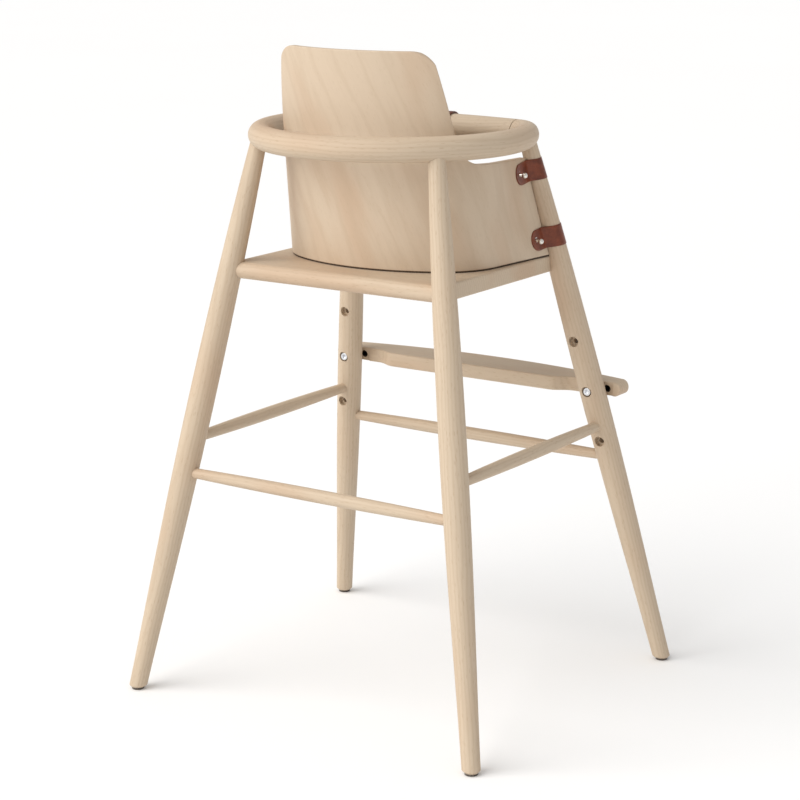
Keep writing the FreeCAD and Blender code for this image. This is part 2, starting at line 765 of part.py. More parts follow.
def strap_lines(height, tail_length):
    """Outlines of a strap in one plane: its loop's and its tail's, and the tail's hinge."""
    plane = strap_plane(height)
    inner = leg_radius(height) * leg_stretch + strap_gap
    stand = size("stud_flange_thick") + strap_gap
    landing = size("strap_landing")
    # outer end: leaves the leg's side and lies on the shell's outer face
    land = shell_in_plane(plane, landing, -stand)
    leave = tangent_angle(Vector(), inner, land, 1)
    tail_in = [polar(inner, leave), land, shell_in_plane(plane, tail_length, -stand)]
    tail_out = beside(tail_in, leather)
    play = (land - tail_in[0]).normalize() * strap_gap
    tail = [tail_in[0] + play, tail_in[1], tail_in[2], tail_out[2], tail_out[1], tail_out[0] + play]
    # inner end: leaves the leg's other side and lies on the shell's inner face
    depth = shell_wall + strap_gap
    rest = shell_in_plane(plane, landing, depth)
    arrive = tangent_angle(Vector(), inner, rest, -1) + 360
    end_in = [polar(inner, arrive), rest, shell_in_plane(plane, tail_length, depth)]
    end_out = beside(end_in, -leather)
    front = (leave + arrive) / 2
    loop = [Part.Arc(tail_in[0], polar(inner, front), end_in[0])]
    loop += [Part.LineSegment(*ends) for ends in zip(end_in, end_in[1:])]
    loop.append(Part.LineSegment(end_in[2], end_out[2]))
    loop += [Part.LineSegment(*ends) for ends in ((end_out[2], end_out[1]), (end_out[1], end_out[0]))]
    loop.append(Part.Arc(end_out[0], polar(inner + leather, front), tail_out[0]))
    loop.append(Part.LineSegment(tail_out[0], tail_in[0]))
    hinge = plane.multVec(tail_out[0] + play / 2)
    print([round(inner, 3), round(leave, 3), round(arrive, 3)],
          [tuple(round(c, 3) for c in plane.multVec(p)) for p in (Vector(), land, tail_in[2], rest, end_in[2])])
    return placed_wire(loop, plane), placed_wire(lines_through(tail), plane), hinge


def lofted(name, low, high):
    """A straight-sided solid between two closed wires."""
    solid = doc.addObject("Part::Feature", name)
    solid.Shape = Part.makeLoft([low, high], True, True)
    return solid


def rounded_end(plane, depth, tail_length):
    """Everything before the rounded end of a strap's straight run, seen from the side."""
    land, tip = [plane.multVec(shell_in_plane(plane, back, depth))
                 for back in (size("strap_landing"), tail_length)]
    run = tip - land
    run.x = 0
    run.normalize()
    middle_point = tip - run * strap_width / 2
    start = middle_point - X * THROUGH
    across = X.cross(run)
    before = box(start - run * 2 * THROUGH - across * THROUGH,
                 Vector(2 * THROUGH, 2 * THROUGH, 2 * THROUGH), Rotation(X, run, across, "XYZ"))
    return fuse(before, cylinder(start, X, "Sizes.strap_width", 2 * THROUGH))


def strap_pieces(stem):
    """Loop and hinged tail of one strap; returns its stud and screw."""
    low_z = size("seat_height") + size(f"strap_{stem}_rise")
    tail_length = size(f"strap_{stem}_tail")
    high_z = low_z + strap_width / leg_stretch
    low_loop, low_tail, low_hinge = strap_lines(low_z, tail_length)
    high_loop, high_tail, high_hinge = strap_lines(high_z, tail_length)
    loop, tail = lofted("StrapLoop", low_loop, high_loop), lofted("StrapTail", low_tail, high_tail)
    plane = strap_plane((low_z + high_z) / 2)
    stud_back = size(f"strap_{stem}_stud")
    foot = plane.multVec(shell_in_plane(plane, stud_back, 0))
    point, outward = stud_place(foot.z - shell_base, stud_back)
    ahead = plane.multVec(shell_in_plane(plane, stud_back - size("strap_slit"), 0)) - point
    hole_dia = size("strap_hole")
    across = ahead.cross(outward).normalize()
    hole = fuse(cylinder(point, outward, "Sizes.strap_hole", hole_dia),
                cylinder(point + ahead, outward, "Sizes.strap_hole", hole_dia),
                box(point - across * hole_dia / 2, Vector(ahead.Length, hole_dia, hole_dia),
                    Rotation(ahead, outward, across, "XYZ")))
    stud, screw = ball_stud(point, outward), stud_screw(point, outward)
    inner_end = rounded_end(plane, shell_wall + strap_gap, tail_length)
    outer_end = rounded_end(plane, -size("stud_flange_thick") - strap_gap, tail_length)
    pair(cut(common(loop, inner_end), screw), f"strap_{stem}")
    pair(cut(common(tail, outer_end), hole), f"strap_{stem}_tail")
    hinge, lean = (low_hinge + high_hinge) / 2, (high_hinge - low_hinge).normalize()
    print(f"'{stem}': ({tuple(hinge)}, {tuple(lean)}),")
    print(f"stud {tuple(point)} {tuple(outward)}")
    return stud, screw


upper_stud, upper_screw = strap_pieces("upper")
lower_stud, lower_screw = strap_pieces("lower")
strap_studs = both_sides(upper_stud, lower_stud)
stud_screws = both_sides(upper_screw, lower_screw)
node(strap_studs, "strap_studs")
node(stud_screws, "stud_screws")


def sharp_edges(shape, least_length):
    """Numbers of the long edges where two faces meet at a clear angle."""
    found = []
    for number, edge in enumerate(shape.Edges, start=1):
        sides = [face for face in shape.Faces if any(edge.isSame(other) for other in face.Edges)]
        if edge.Length < least_length or len(sides) != 2:
            continue
        normals = [face.normalAt(*face.Surface.parameter(middle(edge))) for face in sides]
        turn = math.degrees(normals[0].getAngle(normals[1]))
        if 30 < turn < 150:
            found.append(number)
    return found


shell_panel = cut(shell_blank, notch_tool, shell_top_tool())
doc.recompute()
shell_eased = doc.addObject("Part::Fillet", "ShellEased")
shell_eased.Base = shell_panel
shell_ease = size("shell_edge_ease")
shell_eased.Edges = [(number, shell_ease, shell_ease) for number in sharp_edges(shell_panel.Shape, 20)]
node(cut(shell_eased, strap_studs, stud_screws), "back_shell")

# ---------------------------------------------------------------- crotch strap
crotch_width = size("crotch_width")
loop_inner = tube_radius + strap_gap
loop_outer = loop_inner + leather
strap_x = Vector(-crotch_width / 2, 0, 0)
bar_mid = Vector(0, bar_middle_y, ring_z)
loop_ring = cut(cylinder(bar_mid + strap_x, X, 2 * loop_outer, "Sizes.crotch_width"),
                cylinder(bar_mid + strap_x - X, X, 2 * loop_inner, crotch_width + 2))
seat_face_y = seat_front_y - strap_gap - size("stud_flange_thick") - strap_gap
tail_low = seat_mid - size("crotch_tail")
web_start = bar_mid + Vector(0, -loop_inner * 0.94, -loop_outer * 0.36)
web_run = [web_start, Vector(0, seat_face_y, size("seat_height") + 2), Vector(0, seat_face_y, tail_low)]
web_points = [p + strap_x for p in web_run] + [p + strap_x - Y * leather for p in reversed(web_run)]
web_face = Part.Face(Part.makePolygon(web_points + web_points[:1]))
web = doc.addObject("Part::Feature", "CrotchWeb")
web.Shape = web_face.extrude(X * crotch_width)
crotch_stud_at = Vector(0, seat_front_y, seat_mid)
crotch_stud = ball_stud(crotch_stud_at, Y * -1)
slit_width = size("stud_neck") + 2 * strap_gap
slit_low = seat_mid - size("bar_lift")
slit_rear = seat_face_y + THROUGH / 2
slit = fuse(
    box(Vector(-slit_width / 2, slit_rear - THROUGH, slit_low),
        Vector(slit_width, THROUGH, size("bar_lift"))),
    cylinder(Vector(0, slit_rear, seat_mid), Y * -1, slit_width, THROUGH),
    cylinder(Vector(0, slit_rear, slit_low), Y * -1, slit_width, THROUGH))
round_z = tail_low + crotch_width / 2
tail_round = fuse(
    box(Vector(-crotch_width / 2, -WIDE, round_z), Vector(crotch_width, WIDE, WIDE)),
    cylinder(Vector(0, 0, round_z), Y * -1, "Sizes.crotch_width", WIDE))
bar_room = cylinder(bar_mid + strap_x - X, X, 2 * loop_inner, crotch_width + 2)
node(cut(common(fuse(loop_ring, web), tail_round), slit, bar_room), "crotch_strap")
node(crotch_stud, "crotch_stud")
node(cut(seat_body, rear_blank, rear_blank_right, front_blank, front_blank_right, seat_dowels,
         crotch_stud), "seat_board")

# ---------------------------------------------------------------- footrest
rest_z = middle_z - size("footrest_thick") / 2
leg_front = hole_point(middle_z).y - leg_radius(middle_z) * math.hypot(1, leg_slope.y)
groove_floor = leg_front - size("footrest_clearance")
end_rear_y = groove_floor + size("footrest_seat_depth")
mid_rear_y = -size("footrest_front_y") + size("footrest_mid_depth")
half_length = size("footrest_half_length")
mid_half, blend = size("footrest_mid_half"), size("footrest_blend")
rest_body = doc.addObject("PartDesign::Body", "Footrest")
rest_sketch = sketch_on(rest_body, "XY_Plane", "FootrestOutline")
front_left = Vector(half_length, -size("footrest_end_front_y"), 0)
front_mid = Vector(0, -size("footrest_front_y"), 0)
rear_left = Vector(half_length, end_rear_y, 0)
shoulder = Vector(mid_half + blend, end_rear_y, 0)
swell = Vector(mid_half, mid_rear_y, 0)


def s_bend(first, last):
    """A smooth curve that leaves and arrives level."""
    reach = (last.x - first.x) * 0.5
    curve = Part.BezierCurve()
    curve.setPoles([first, first + Vector(reach, 0, 0), last - Vector(reach, 0, 0), last])
    return curve.toBSpline()


rest_edges = [
    Part.Arc(mirror_x(front_left), front_mid, front_left),
    Part.LineSegment(front_left, rear_left), Part.LineSegment(rear_left, shoulder),
    s_bend(shoulder, swell), Part.LineSegment(swell, mirror_x(swell)),
    s_bend(mirror_x(swell), mirror_x(shoulder)),
    Part.LineSegment(mirror_x(shoulder), mirror_x(rear_left)),
    Part.LineSegment(mirror_x(rear_left), mirror_x(front_left))]
for edge in rest_edges:
    rest_sketch.addGeometry(edge, False)
rest_pad = rest_body.newObject("PartDesign::Pad", "FootrestPad")
rest_pad.Profile = rest_sketch
rest_pad.setExpression("Length", "Sizes.footrest_thick")
rest_ends = add_round(rest_body, rest_pad, "FootrestEnds", "Sizes.footrest_thick / 2 - 0.1",
                      lambda e: abs(middle(e).x) > half_length - 0.01 and abs(e.tangentAt(0).z) < 0.1)
add_round(rest_body, rest_ends, "FootrestEdges", "Sizes.footrest_round",
          lambda e: abs(middle(e).x) < half_length - size("footrest_thick") and e.Length > 20)
rest_body.Placement = Placement(Vector(0, 0, rest_z), Rotation())

groove_low, groove_high = hole_point(hole_heights[2]).x, hole_point(hole_heights[0]).x
chord = math.sqrt(leg_radius(middle_z) ** 2 - (leg_radius(middle_z) - size("footrest_seat_depth")) ** 2)
lean_turn = Rotation(X, -math.degrees(math.atan(leg_slope.y)))
groove_width = groove_high - groove_low + 2 * chord + 2
groove = box(Vector(groove_low - chord - 1, groove_floor, middle_z) - lean_turn.multVec(Z * THROUGH / 2),
             Vector(groove_width, THROUGH, THROUGH), lean_turn)


def insert_parts(height):
    """A threaded insert and the hole for it, opposite a leg hole."""
    x = hole_point(height).x
    recess = size("insert_dia") / 2 * leg_slope.y + INSERT_SUNK
    mouth = Vector(x, groove_floor - recess, middle_z)
    shell_tube = cylinder(mouth, Y * -1, "Sizes.insert_dia", "Sizes.insert_length")
    bore = cylinder(mouth + Y, Y * -1, "Sizes.bolt_dia + 2 * Sizes.insert_clearance", THROUGH)
    mouth_play = size("insert_dia") / 2
    room = cylinder(mouth + Y * mouth_play, Y * -1, "Sizes.insert_dia",
                    size("insert_length") + mouth_play)
    relief = cylinder(mouth, Y * -1, "Sizes.bolt_hole", size("bolt_reach") + size("bolt_dia") / 2)
    return cut(shell_tube, bore), fuse(room, relief)


inserts, insert_rooms = zip(*[insert_parts(height) for height in hole_heights])
node(both_sides(*inserts), "footrest_inserts")
rest_cuts = both_sides(groove, *insert_rooms)
node(cut(rest_body, rest_cuts), "footrest_board")


def bolt():
    """A socket-head bolt from the leg's rear face into the footrest."""
    centre, radius = hole_point(middle_z), leg_radius(middle_z)
    floor = centre + Y * (radius - size("counterbore_depth"))
    tip = Vector(centre.x, groove_floor - size("bolt_reach"), middle_z)
    shank = cylinder(tip, Y, "Sizes.bolt_dia", floor.y - tip.y + 1)
    head = cylinder(floor, Y, "Sizes.bolt_head_dia", "Sizes.bolt_head_height")
    socket = doc.addObject("Part::Prism", "Socket")
    socket.Polygon = 6
    socket.setExpression("Circumradius", "Sizes.bolt_socket / 2 / cos(30)")
    socket.Height = size("bolt_head_height")
    socket.Placement = Placement(floor + Y * size("bolt_socket_floor"), Rotation(Z, Y))
    return cut(fuse(shank, head), socket)


node(both_sides(bolt()), "footrest_bolts")

# ---------------------------------------------------------------- check and write
doc.recompute()
faults = [item.Name for item in doc.Objects if {"Invalid", "Error"} & set(item.State)]
for item in nodes:
    if item.Shape.isNull() or not item.Shape.isValid() or not item.Shape.Solids:
        faults.append(item.Label)
if faults:
    raise RuntimeError("faulty objects: " + ", ".join(faults))
os.makedirs("parts", exist_ok=True)
for item in nodes:
    item.Shape.exportStep(os.path.join("parts", item.Label + ".step"))
    print(f"{item.Label}: {len(item.Shape.Solids)} solid(s), {item.Shape.Volume / 1000:.1f} cm3")
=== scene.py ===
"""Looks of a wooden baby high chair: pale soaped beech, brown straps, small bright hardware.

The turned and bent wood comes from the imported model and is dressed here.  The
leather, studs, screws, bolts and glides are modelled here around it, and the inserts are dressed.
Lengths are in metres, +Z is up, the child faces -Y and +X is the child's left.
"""

import logging
import math
from dataclasses import dataclass, field
from enum import Enum
from typing import Callable, Sequence

import bpy
from mathutils import Matrix, Vector

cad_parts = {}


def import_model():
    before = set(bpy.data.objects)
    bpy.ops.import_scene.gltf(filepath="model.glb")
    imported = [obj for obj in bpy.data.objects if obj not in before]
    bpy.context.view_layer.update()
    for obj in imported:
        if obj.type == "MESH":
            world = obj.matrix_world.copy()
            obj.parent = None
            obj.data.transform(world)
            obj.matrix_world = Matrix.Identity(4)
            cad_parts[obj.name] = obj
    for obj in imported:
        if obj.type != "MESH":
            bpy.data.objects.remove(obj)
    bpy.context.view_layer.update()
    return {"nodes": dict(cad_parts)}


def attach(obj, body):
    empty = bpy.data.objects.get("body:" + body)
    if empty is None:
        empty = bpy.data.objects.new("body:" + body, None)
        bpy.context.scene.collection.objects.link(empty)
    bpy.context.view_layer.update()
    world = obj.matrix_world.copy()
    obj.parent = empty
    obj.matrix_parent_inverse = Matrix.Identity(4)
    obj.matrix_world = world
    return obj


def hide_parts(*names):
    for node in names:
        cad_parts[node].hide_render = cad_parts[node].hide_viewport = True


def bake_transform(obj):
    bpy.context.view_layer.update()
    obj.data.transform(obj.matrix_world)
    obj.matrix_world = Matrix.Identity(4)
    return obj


log = logging.getLogger("high_chair")

FRAME_BODY = "frame"
TAU = 2 * math.pi
LEATHER_SMOOTH = 50     # degrees up to which bent leather shades smooth
METAL_SMOOTH = 30       # the same for turned metal

Colour = tuple[float, float, float]
Point = tuple[float, float, float]
Piece = bpy.types.Object
Material = bpy.types.Material
Socket = bpy.types.NodeSocket


# ---- shader writing
class Value:
    """A number socket that takes part in Python expressions as Math nodes."""

    def __init__(self, graph: "Graph", socket: Socket) -> None:
        """Wrap a socket of a graph."""
        self.graph, self.socket = graph, socket

    def _math(self, operation: str, *values: "Value | float") -> "Value":
        """The result of a new Math node with those inputs, in order."""
        return self.graph.value("ShaderNodeMath", {"operation": operation}, dict(enumerate(values)))

    def __add__(self, other: "Value | float") -> "Value":
        """Sum."""
        return self._math("ADD", self, other)

    __radd__ = __add__

    def __sub__(self, other: "Value | float") -> "Value":
        """Difference."""
        return self._math("SUBTRACT", self, other)

    def __rsub__(self, other: "Value | float") -> "Value":
        """Difference from a number."""
        return self._math("SUBTRACT", other, self)

    def __mul__(self, other: "Value | float") -> "Value":
        """Product."""
        return self._math("MULTIPLY", self, other)

    __rmul__ = __mul__

    def __truediv__(self, other: "Value | float") -> "Value":
        """Quotient."""
        return self._math("DIVIDE", self, other)

    def __pow__(self, other: float) -> "Value":
        """Power."""
        return self._math("POWER", self, other)

    def __gt__(self, other: "Value | float") -> "Value":
        """One where greater, else zero."""
        return self._math("GREATER_THAN", self, other)

    def sine(self) -> "Value":
        """Sine of the value in radians."""
        return self._math("SINE", self)

    def root(self) -> "Value":
        """Square root."""
        return self._math("SQRT", self)

    def bearing(self, other: "Value") -> "Value":
        """Angle of a direction whose sideways part this is."""
        return self._math("ARCTAN2", self, other)

    def eased(self, low: float, high: float) -> "Value":
        """A smooth step from zero at low to one at high."""
        return self.graph.value(
            "ShaderNodeMapRange", {"interpolation_type": "SMOOTHSTEP"},
            {0: self, 1: low, 2: high, 3: 0.0, 4: 1.0})


class Graph:
    """The node tree of one material, with its Principled shader."""

    def __init__(self, name: str) -> None:
        """Make a material of that name."""
        self.material = bpy.data.materials.new(name)
        self.material.use_nodes = True
        self.tree = self.material.node_tree
        self.shader = self.tree.nodes["Principled BSDF"]
        self.coordinates = self.tree.nodes.new("ShaderNodeTexCoord")

    def node(self, kind: str, settings: dict, inputs: dict) -> bpy.types.Node:
        """Add any node.

        Args:
            kind: the node's type.
            settings: its properties, set before its sockets.
            inputs: values or links of its sockets, by name or number.

        Returns:
            The new node.
        """
        made = self.tree.nodes.new(kind)
        for key, setting in settings.items():
            setattr(made, key, setting)
        for key, given in inputs.items():
            self.feed(made.inputs[key], given)
        return made

    def feed(self, socket: Socket, given: object) -> None:
        """Link or set one socket.

        Args:
            socket: the socket to feed.
            given: a Value, another socket, a number, or a colour or vector.
        """
        if isinstance(given, Value):
            self.tree.links.new(given.socket, socket)
        elif isinstance(given, Socket):
            self.tree.links.new(given, socket)
        elif socket.type == "RGBA" and len(given) == 3:
            socket.default_value = (*given, 1.0)
        else:
            socket.default_value = given

    def value(self, kind: str, settings: dict, inputs: dict) -> Value:
        """Add a node and take its first output."""
        return Value(self, self.node(kind, settings, inputs).outputs[0])

    def blend(self, factor: Value | float, first: object, second: object) -> Socket:
        """Mix two colours.

        Args:
            factor: how much of the second.
            first: a colour or colour socket.
            second: a colour or colour socket.

        Returns:
            The mixed colour socket.
        """
        made = self.node("ShaderNodeMix", {"data_type": "RGBA"}, {})
        colour_in = [item for item in made.inputs if item.type == "RGBA"]
        self.feed(made.inputs[0], factor)
        self.feed(colour_in[0], first)
        self.feed(colour_in[1], second)
        return next(item for item in made.outputs if item.type == "RGBA")

    def position(self, origin: Point = (0, 0, 0),
                 turn: tuple[float, float, float] = (0, 0, 0)) -> Socket:
        """Object position seen from a moved and turned frame."""
        return self.node("ShaderNodeMapping", {"vector_type": "TEXTURE"},
                         {"Vector": self.coordinates.outputs["Object"], "Location": origin,
                          "Rotation": turn}).outputs[0]

    def parts(self, vector: Socket) -> tuple[Value, Value, Value]:
        """The three numbers of a vector."""
        outputs = self.node("ShaderNodeSeparateXYZ", {}, {0: vector}).outputs
        return tuple(Value(self, item) for item in outputs)

    def vector(self, x: object, y: object, z: object) -> Socket:
        """A vector of three values or numbers."""
        return self.node("ShaderNodeCombineXYZ", {}, {0: x, 1: y, 2: z}).outputs[0]

    def noise(self, vector: Socket, scale: float, detail: float,
              roughness: float) -> Value:
        """Fractal noise from nought to one."""
        return self.value("ShaderNodeTexNoise", {}, {
            "Vector": vector, "Scale": scale, "Detail": detail, "Roughness": roughness})

    def cells(self, vector: Socket, scale: float) -> tuple[Value, Value]:
        """Distance to the nearest cell's middle, and a random number for each cell."""
        made = self.node("ShaderNodeTexVoronoi", {}, {"Vector": vector, "Scale": scale})
        chance = self.parts(made.outputs["Color"])[0]
        return Value(self, made.outputs["Distance"]), chance

    def surface(self, inputs: dict) -> None:
        """Feed the shader's inputs by name."""
        for name, given in inputs.items():
            self.feed(self.shader.inputs[name], given)

    def relief(self, height: Value, strength: float, distance: float) -> None:
        """Raise the surface by a Bump node."""
        bump = self.node("ShaderNodeBump", {}, {
            "Height": height, "Strength": strength, "Distance": distance})
        self.surface({"Normal": bump.outputs[0]})


# ---- finishes
class Run(Enum):
    """How the grain of a wooden piece runs."""

    STRAIGHT = "straight"       # along one line
    BENT = "bent"               # round an upright line
    VENEER = "veneer"           # up a moulded panel


@dataclass(frozen=True)
class Grain:
    """Where the grain of a piece runs.

    Attributes:
        run: straight, bent or veneer.
        start: a point of the middle line, or of the upright line.
        end: another point of the middle line, for straight grain.
        radius: radius of the middle line, for bent grain.
        turn: angle of the growth layers round the middle line, in radians.
        phase: shifts the pattern, so that two like pieces differ.
    """

    run: Run
    start: Point = (0, 0, 0)
    end: Point = (0, 0, 1)
    radius: float = 0.15
    turn: float = 0.0
    phase: float = 0.0


@dataclass(frozen=True)
class Beech:
    """Pale soaped beech with soft growth layers, fine fibres and small ray flecks.

    Attributes:
        light: early wood.
        dark: late wood.
        blush: the pinkish tone of broad patches.
        fleck: colour of the ray flecks.
        layer: thickness of a growth layer.
        layer_share: how much of the late wood shows.
        fibre_share: how much of the fibres shows.
        fleck_share: how much of the flecks shows.
        roughness: of the soaped surface.
    """

    light: Colour = (0.565, 0.455, 0.335)
    dark: Colour = (0.400, 0.290, 0.192)
    blush: Colour = (0.535, 0.392, 0.272)
    fleck: Colour = (0.330, 0.205, 0.115)
    layer: float = 0.0042
    layer_share: float = 0.24
    fibre_share: float = 0.17
    fleck_share: float = 0.30
    roughness: float = 0.58

    @staticmethod
    def frame_of(graph: Graph, grain: Grain) -> tuple[Value, Value, Value]:
        """Across, across and along the grain, in metres."""
        if grain.run is Run.STRAIGHT:
            line = Vector(grain.end) - Vector(grain.start)
            turn = line.to_track_quat("Z", "X").to_euler()
            return graph.parts(graph.position(grain.start, tuple(turn)))
        x, y, z = graph.parts(graph.position(grain.start))
        reach = (x * x + y * y).root()
        around = x.bearing(y) * grain.radius
        if grain.run is Run.BENT:
            return reach - grain.radius, z, around
        lean = math.radians(24)
        return around * math.cos(lean) - z * math.sin(lean), reach, around * math.sin(lean) + z

    def dress(self, name: str, grain: Grain) -> Material:
        """Make the material of one piece.

        Args:
            name: the material's name.
            grain: how the grain runs in the piece.

        Returns:
            The finished material.
        """
        graph = Graph(name)
        across, deep, along = self.frame_of(graph, grain)
        across, deep = across + grain.phase * 0.013, deep + grain.phase * 0.007
        along = along + grain.phase * 0.31
        slow = graph.noise(graph.vector(across, deep, along * 0.16),
                           scale=42, detail=3, roughness=0.55)
        patch = graph.noise(graph.vector(across, deep, along * 0.30),
                            scale=16, detail=2, roughness=0.5)
        depth = across * math.cos(grain.turn) + deep * math.sin(grain.turn)
        rings = (depth / self.layer + slow * 2.6) * TAU
        late = (rings.sine() * 0.5 + 0.5) ** 2.2
        fibre = graph.noise(graph.vector(across, deep, along * 0.035),
                            scale=1500, detail=3, roughness=0.6)
        streak = graph.noise(graph.vector(across, deep, along * 0.02),
                             scale=330, detail=2, roughness=0.5)
        spot, chance = graph.cells(graph.vector(across, deep, along * 0.16), scale=640)
        flecks = (1 - spot.eased(0.10, 0.42)) * (chance > 0.62)
        tone = graph.blend(patch.eased(0.42, 0.72), self.light, self.blush)
        tone = graph.blend(late * self.layer_share, tone, self.dark)
        shade = fibre.eased(0.30, 0.72) * 0.5 + streak.eased(0.35, 0.75) * 0.5
        tone = graph.blend(shade * self.fibre_share, tone, self.dark)
        tone = graph.blend(flecks * self.fleck_share, tone, self.fleck)
        graph.surface({"Base Color": tone, "Roughness": fibre * 0.16 + (self.roughness - 0.08),
                       "Specular IOR Level": 0.35})
        graph.relief(fibre * 0.7 + late * 0.3 - flecks * 0.4, strength=0.22, distance=0.0004)
        return graph.material


@dataclass(frozen=True)
class Veneer(Beech):
    """Sliced beech veneer: broad, faint slanting figure and hardly any flecks."""

    light: Colour = (0.580, 0.465, 0.345)
    dark: Colour = (0.445, 0.330, 0.222)
    layer: float = 0.030
    layer_share: float = 0.20
    fibre_share: float = 0.12
    fleck_share: float = 0.12


class Finish:
    """A recipe that looks the same all round a piece."""

    def paint(self, graph: Graph, place: Socket) -> None:
        """Write the recipe.

        Args:
            graph: the new material's tree.
            place: the position that the patterns follow.
        """
        raise NotImplementedError

    def dress(self, name: str) -> Material:
        """Make the material of that name."""
        graph = Graph(name)
        self.paint(graph, graph.position())
        return graph.material


@dataclass(frozen=True)
class Leather(Finish):
    """Waxed strap leather with a fine grain.

    Attributes:
        body: main colour.
        deep: colour of the darker mottling.
        roughness: of the waxed face.
        coat: clear wax over it.
        pore: size of one grain cell.
    """

    body: Colour = (0.205, 0.046, 0.016)
    deep: Colour = (0.110, 0.022, 0.008)
    roughness: float = 0.36
    coat: float = 0.15
    pore: float = 0.0011

    def paint(self, graph: Graph, place: Socket) -> None:
        """Write the recipe."""
        mottle = graph.noise(place, scale=95, detail=4, roughness=0.6)
        crease, _ = graph.cells(place, 1 / self.pore)
        wear = graph.noise(place, scale=420, detail=3, roughness=0.65)
        tone = graph.blend(mottle.eased(0.35, 0.70), self.body, self.deep)
        tone = graph.blend(crease.eased(0.35, 0.75) * 0.30, tone, self.deep)
        graph.surface({"Base Color": tone, "Roughness": wear * 0.22 + (self.roughness - 0.11),
                       "Coat Weight": self.coat, "Coat Roughness": 0.22,
                       "Specular IOR Level": 0.30})
        graph.relief((1 - crease) * 0.6 + wear * 0.4, strength=0.30, distance=0.0003)


@dataclass(frozen=True)
class Metal(Finish):
    """Plated metal with faint handling marks.

    Attributes:
        body: colour of the plating.
        roughness: its mean roughness.
        dull: colour of the duller spots.
    """

    body: Colour = (0.80, 0.77, 0.72)
    roughness: float = 0.16
    dull: Colour = (0.50, 0.48, 0.45)

    def paint(self, graph: Graph, place: Socket) -> None:
        """Write the recipe."""
        cloud = graph.noise(place, scale=380, detail=3, roughness=0.6)
        drawn = graph.node("ShaderNodeMapping", {}, {"Vector": place, "Scale": (1.0, 9.0, 2.0)})
        scratch = graph.noise(drawn.outputs[0], scale=900, detail=2, roughness=0.5)
        tone = graph.blend(cloud.eased(0.45, 0.75) * 0.5, self.body, self.dull)
        rough = cloud * 0.14 + scratch * 0.08 + (self.roughness - 0.11)
        graph.surface({"Base Color": tone, "Metallic": 1.0, "Roughness": rough})
        graph.relief(scratch, strength=0.05, distance=0.0001)


@dataclass(frozen=True)
class Plastic(Finish):
    """Moulded nylon, dulled by the floor.

    Attributes:
        body: main colour.
        dust: colour of the worn spots.
        roughness: its mean roughness.
    """

    body: Colour = (0.060, 0.045, 0.035)
    dust: Colour = (0.155, 0.125, 0.100)
    roughness: float = 0.5

    def paint(self, graph: Graph, place: Socket) -> None:
        """Write the recipe."""
        wear = graph.noise(place, scale=520, detail=4, roughness=0.65)
        tone = graph.blend(wear.eased(0.42, 0.68), self.body, self.dust)
        graph.surface({"Base Color": tone, "Roughness": wear * 0.25 + (self.roughness - 0.12)})
        graph.relief(wear, strength=0.2, distance=0.0002)


@dataclass(frozen=True)
class Felt(Plastic):
    """Pressed dark felt."""

    body: Colour = (0.050, 0.032, 0.022)
    dust: Colour = (0.110, 0.075, 0.052)
    roughness: float = 0.95


# ---- modelling
def clear_selection() -> None:
    """Leave edit mode and deselect everything."""
    if bpy.context.object and bpy.context.object.mode != "OBJECT":
        bpy.ops.object.mode_set(mode="OBJECT")
    bpy.ops.object.select_all(action="DESELECT")


def choose(piece: Piece) -> None:
    """Make one object the only selected one."""
    clear_selection()
    piece.select_set(True)
    bpy.context.view_layer.objects.active = piece


def newest(name: str) -> Piece:
    """Name the object that an operator has just added."""
    made = bpy.context.object
    made.name = made.data.name = name
    return made


def pick_faces(piece: Piece, test: Callable[[bpy.types.MeshPolygon], bool]) -> None:
    """Select just the faces that pass a test, and enter edit mode."""
    mesh = piece.data
    mesh.polygons.foreach_set("select", [bool(test(face)) for face in mesh.polygons])
    mesh.edges.foreach_set("select", [False] * len(mesh.edges))
    mesh.vertices.foreach_set("select", [False] * len(mesh.vertices))
    bpy.ops.object.mode_set(mode="EDIT")
    bpy.ops.mesh.select_mode(type="FACE")


def apply_modifier(piece: Piece, kind: str, **settings: object) -> None:
    """Add a modifier, set it and apply it.

    Args:
        piece: the mesh object.
        kind: the modifier's type.
        settings: its properties.
    """
    choose(piece)
    modifier = piece.modifiers.new(kind.title(), kind)
    for key, setting in settings.items():
        setattr(modifier, key, setting)
    bpy.ops.object.modifier_apply(modifier=modifier.name)


def smooth(piece: Piece, degrees: float) -> None:
    """Shade smooth except over sharp edges."""
    choose(piece)
    bpy.ops.object.shade_smooth_by_angle(angle=math.radians(degrees))


def settle(piece: Piece) -> Piece:
    """Put an object's place into its mesh."""
    choose(piece)
    bpy.ops.object.transform_apply(location=True, rotation=True, scale=True)
    return piece


def cylinder(name: str, sides: int, wide: float, high: float,
             middle: float = 0.0) -> Piece:
    """An upright cylinder on the Z axis.

    Args:
        name: the object's name.
        sides: faces round it.
        wide: its diameter.
        high: its height.
        middle: height of its middle.

    Returns:
        The cylinder.
    """
    clear_selection()
    bpy.ops.mesh.primitive_cylinder_add(vertices=sides, radius=wide / 2, depth=high,
                                        location=(0, 0, middle))
    return settle(newest(name))


def block(name: str, size: Point, middle: Point) -> Piece:
    """A block of that size round that middle."""
    clear_selection()
    bpy.ops.mesh.primitive_cube_add(size=1, location=middle)
    piece = newest(name)
    piece.dimensions = size
    return settle(piece)


def step_faces(inwards: float, rise: float) -> None:
    """In edit mode, inset the picked faces and move them along Z."""
    bpy.ops.mesh.inset(thickness=inwards)
    bpy.ops.mesh.extrude_region_move(TRANSFORM_OT_translate={"value": (0, 0, rise)})


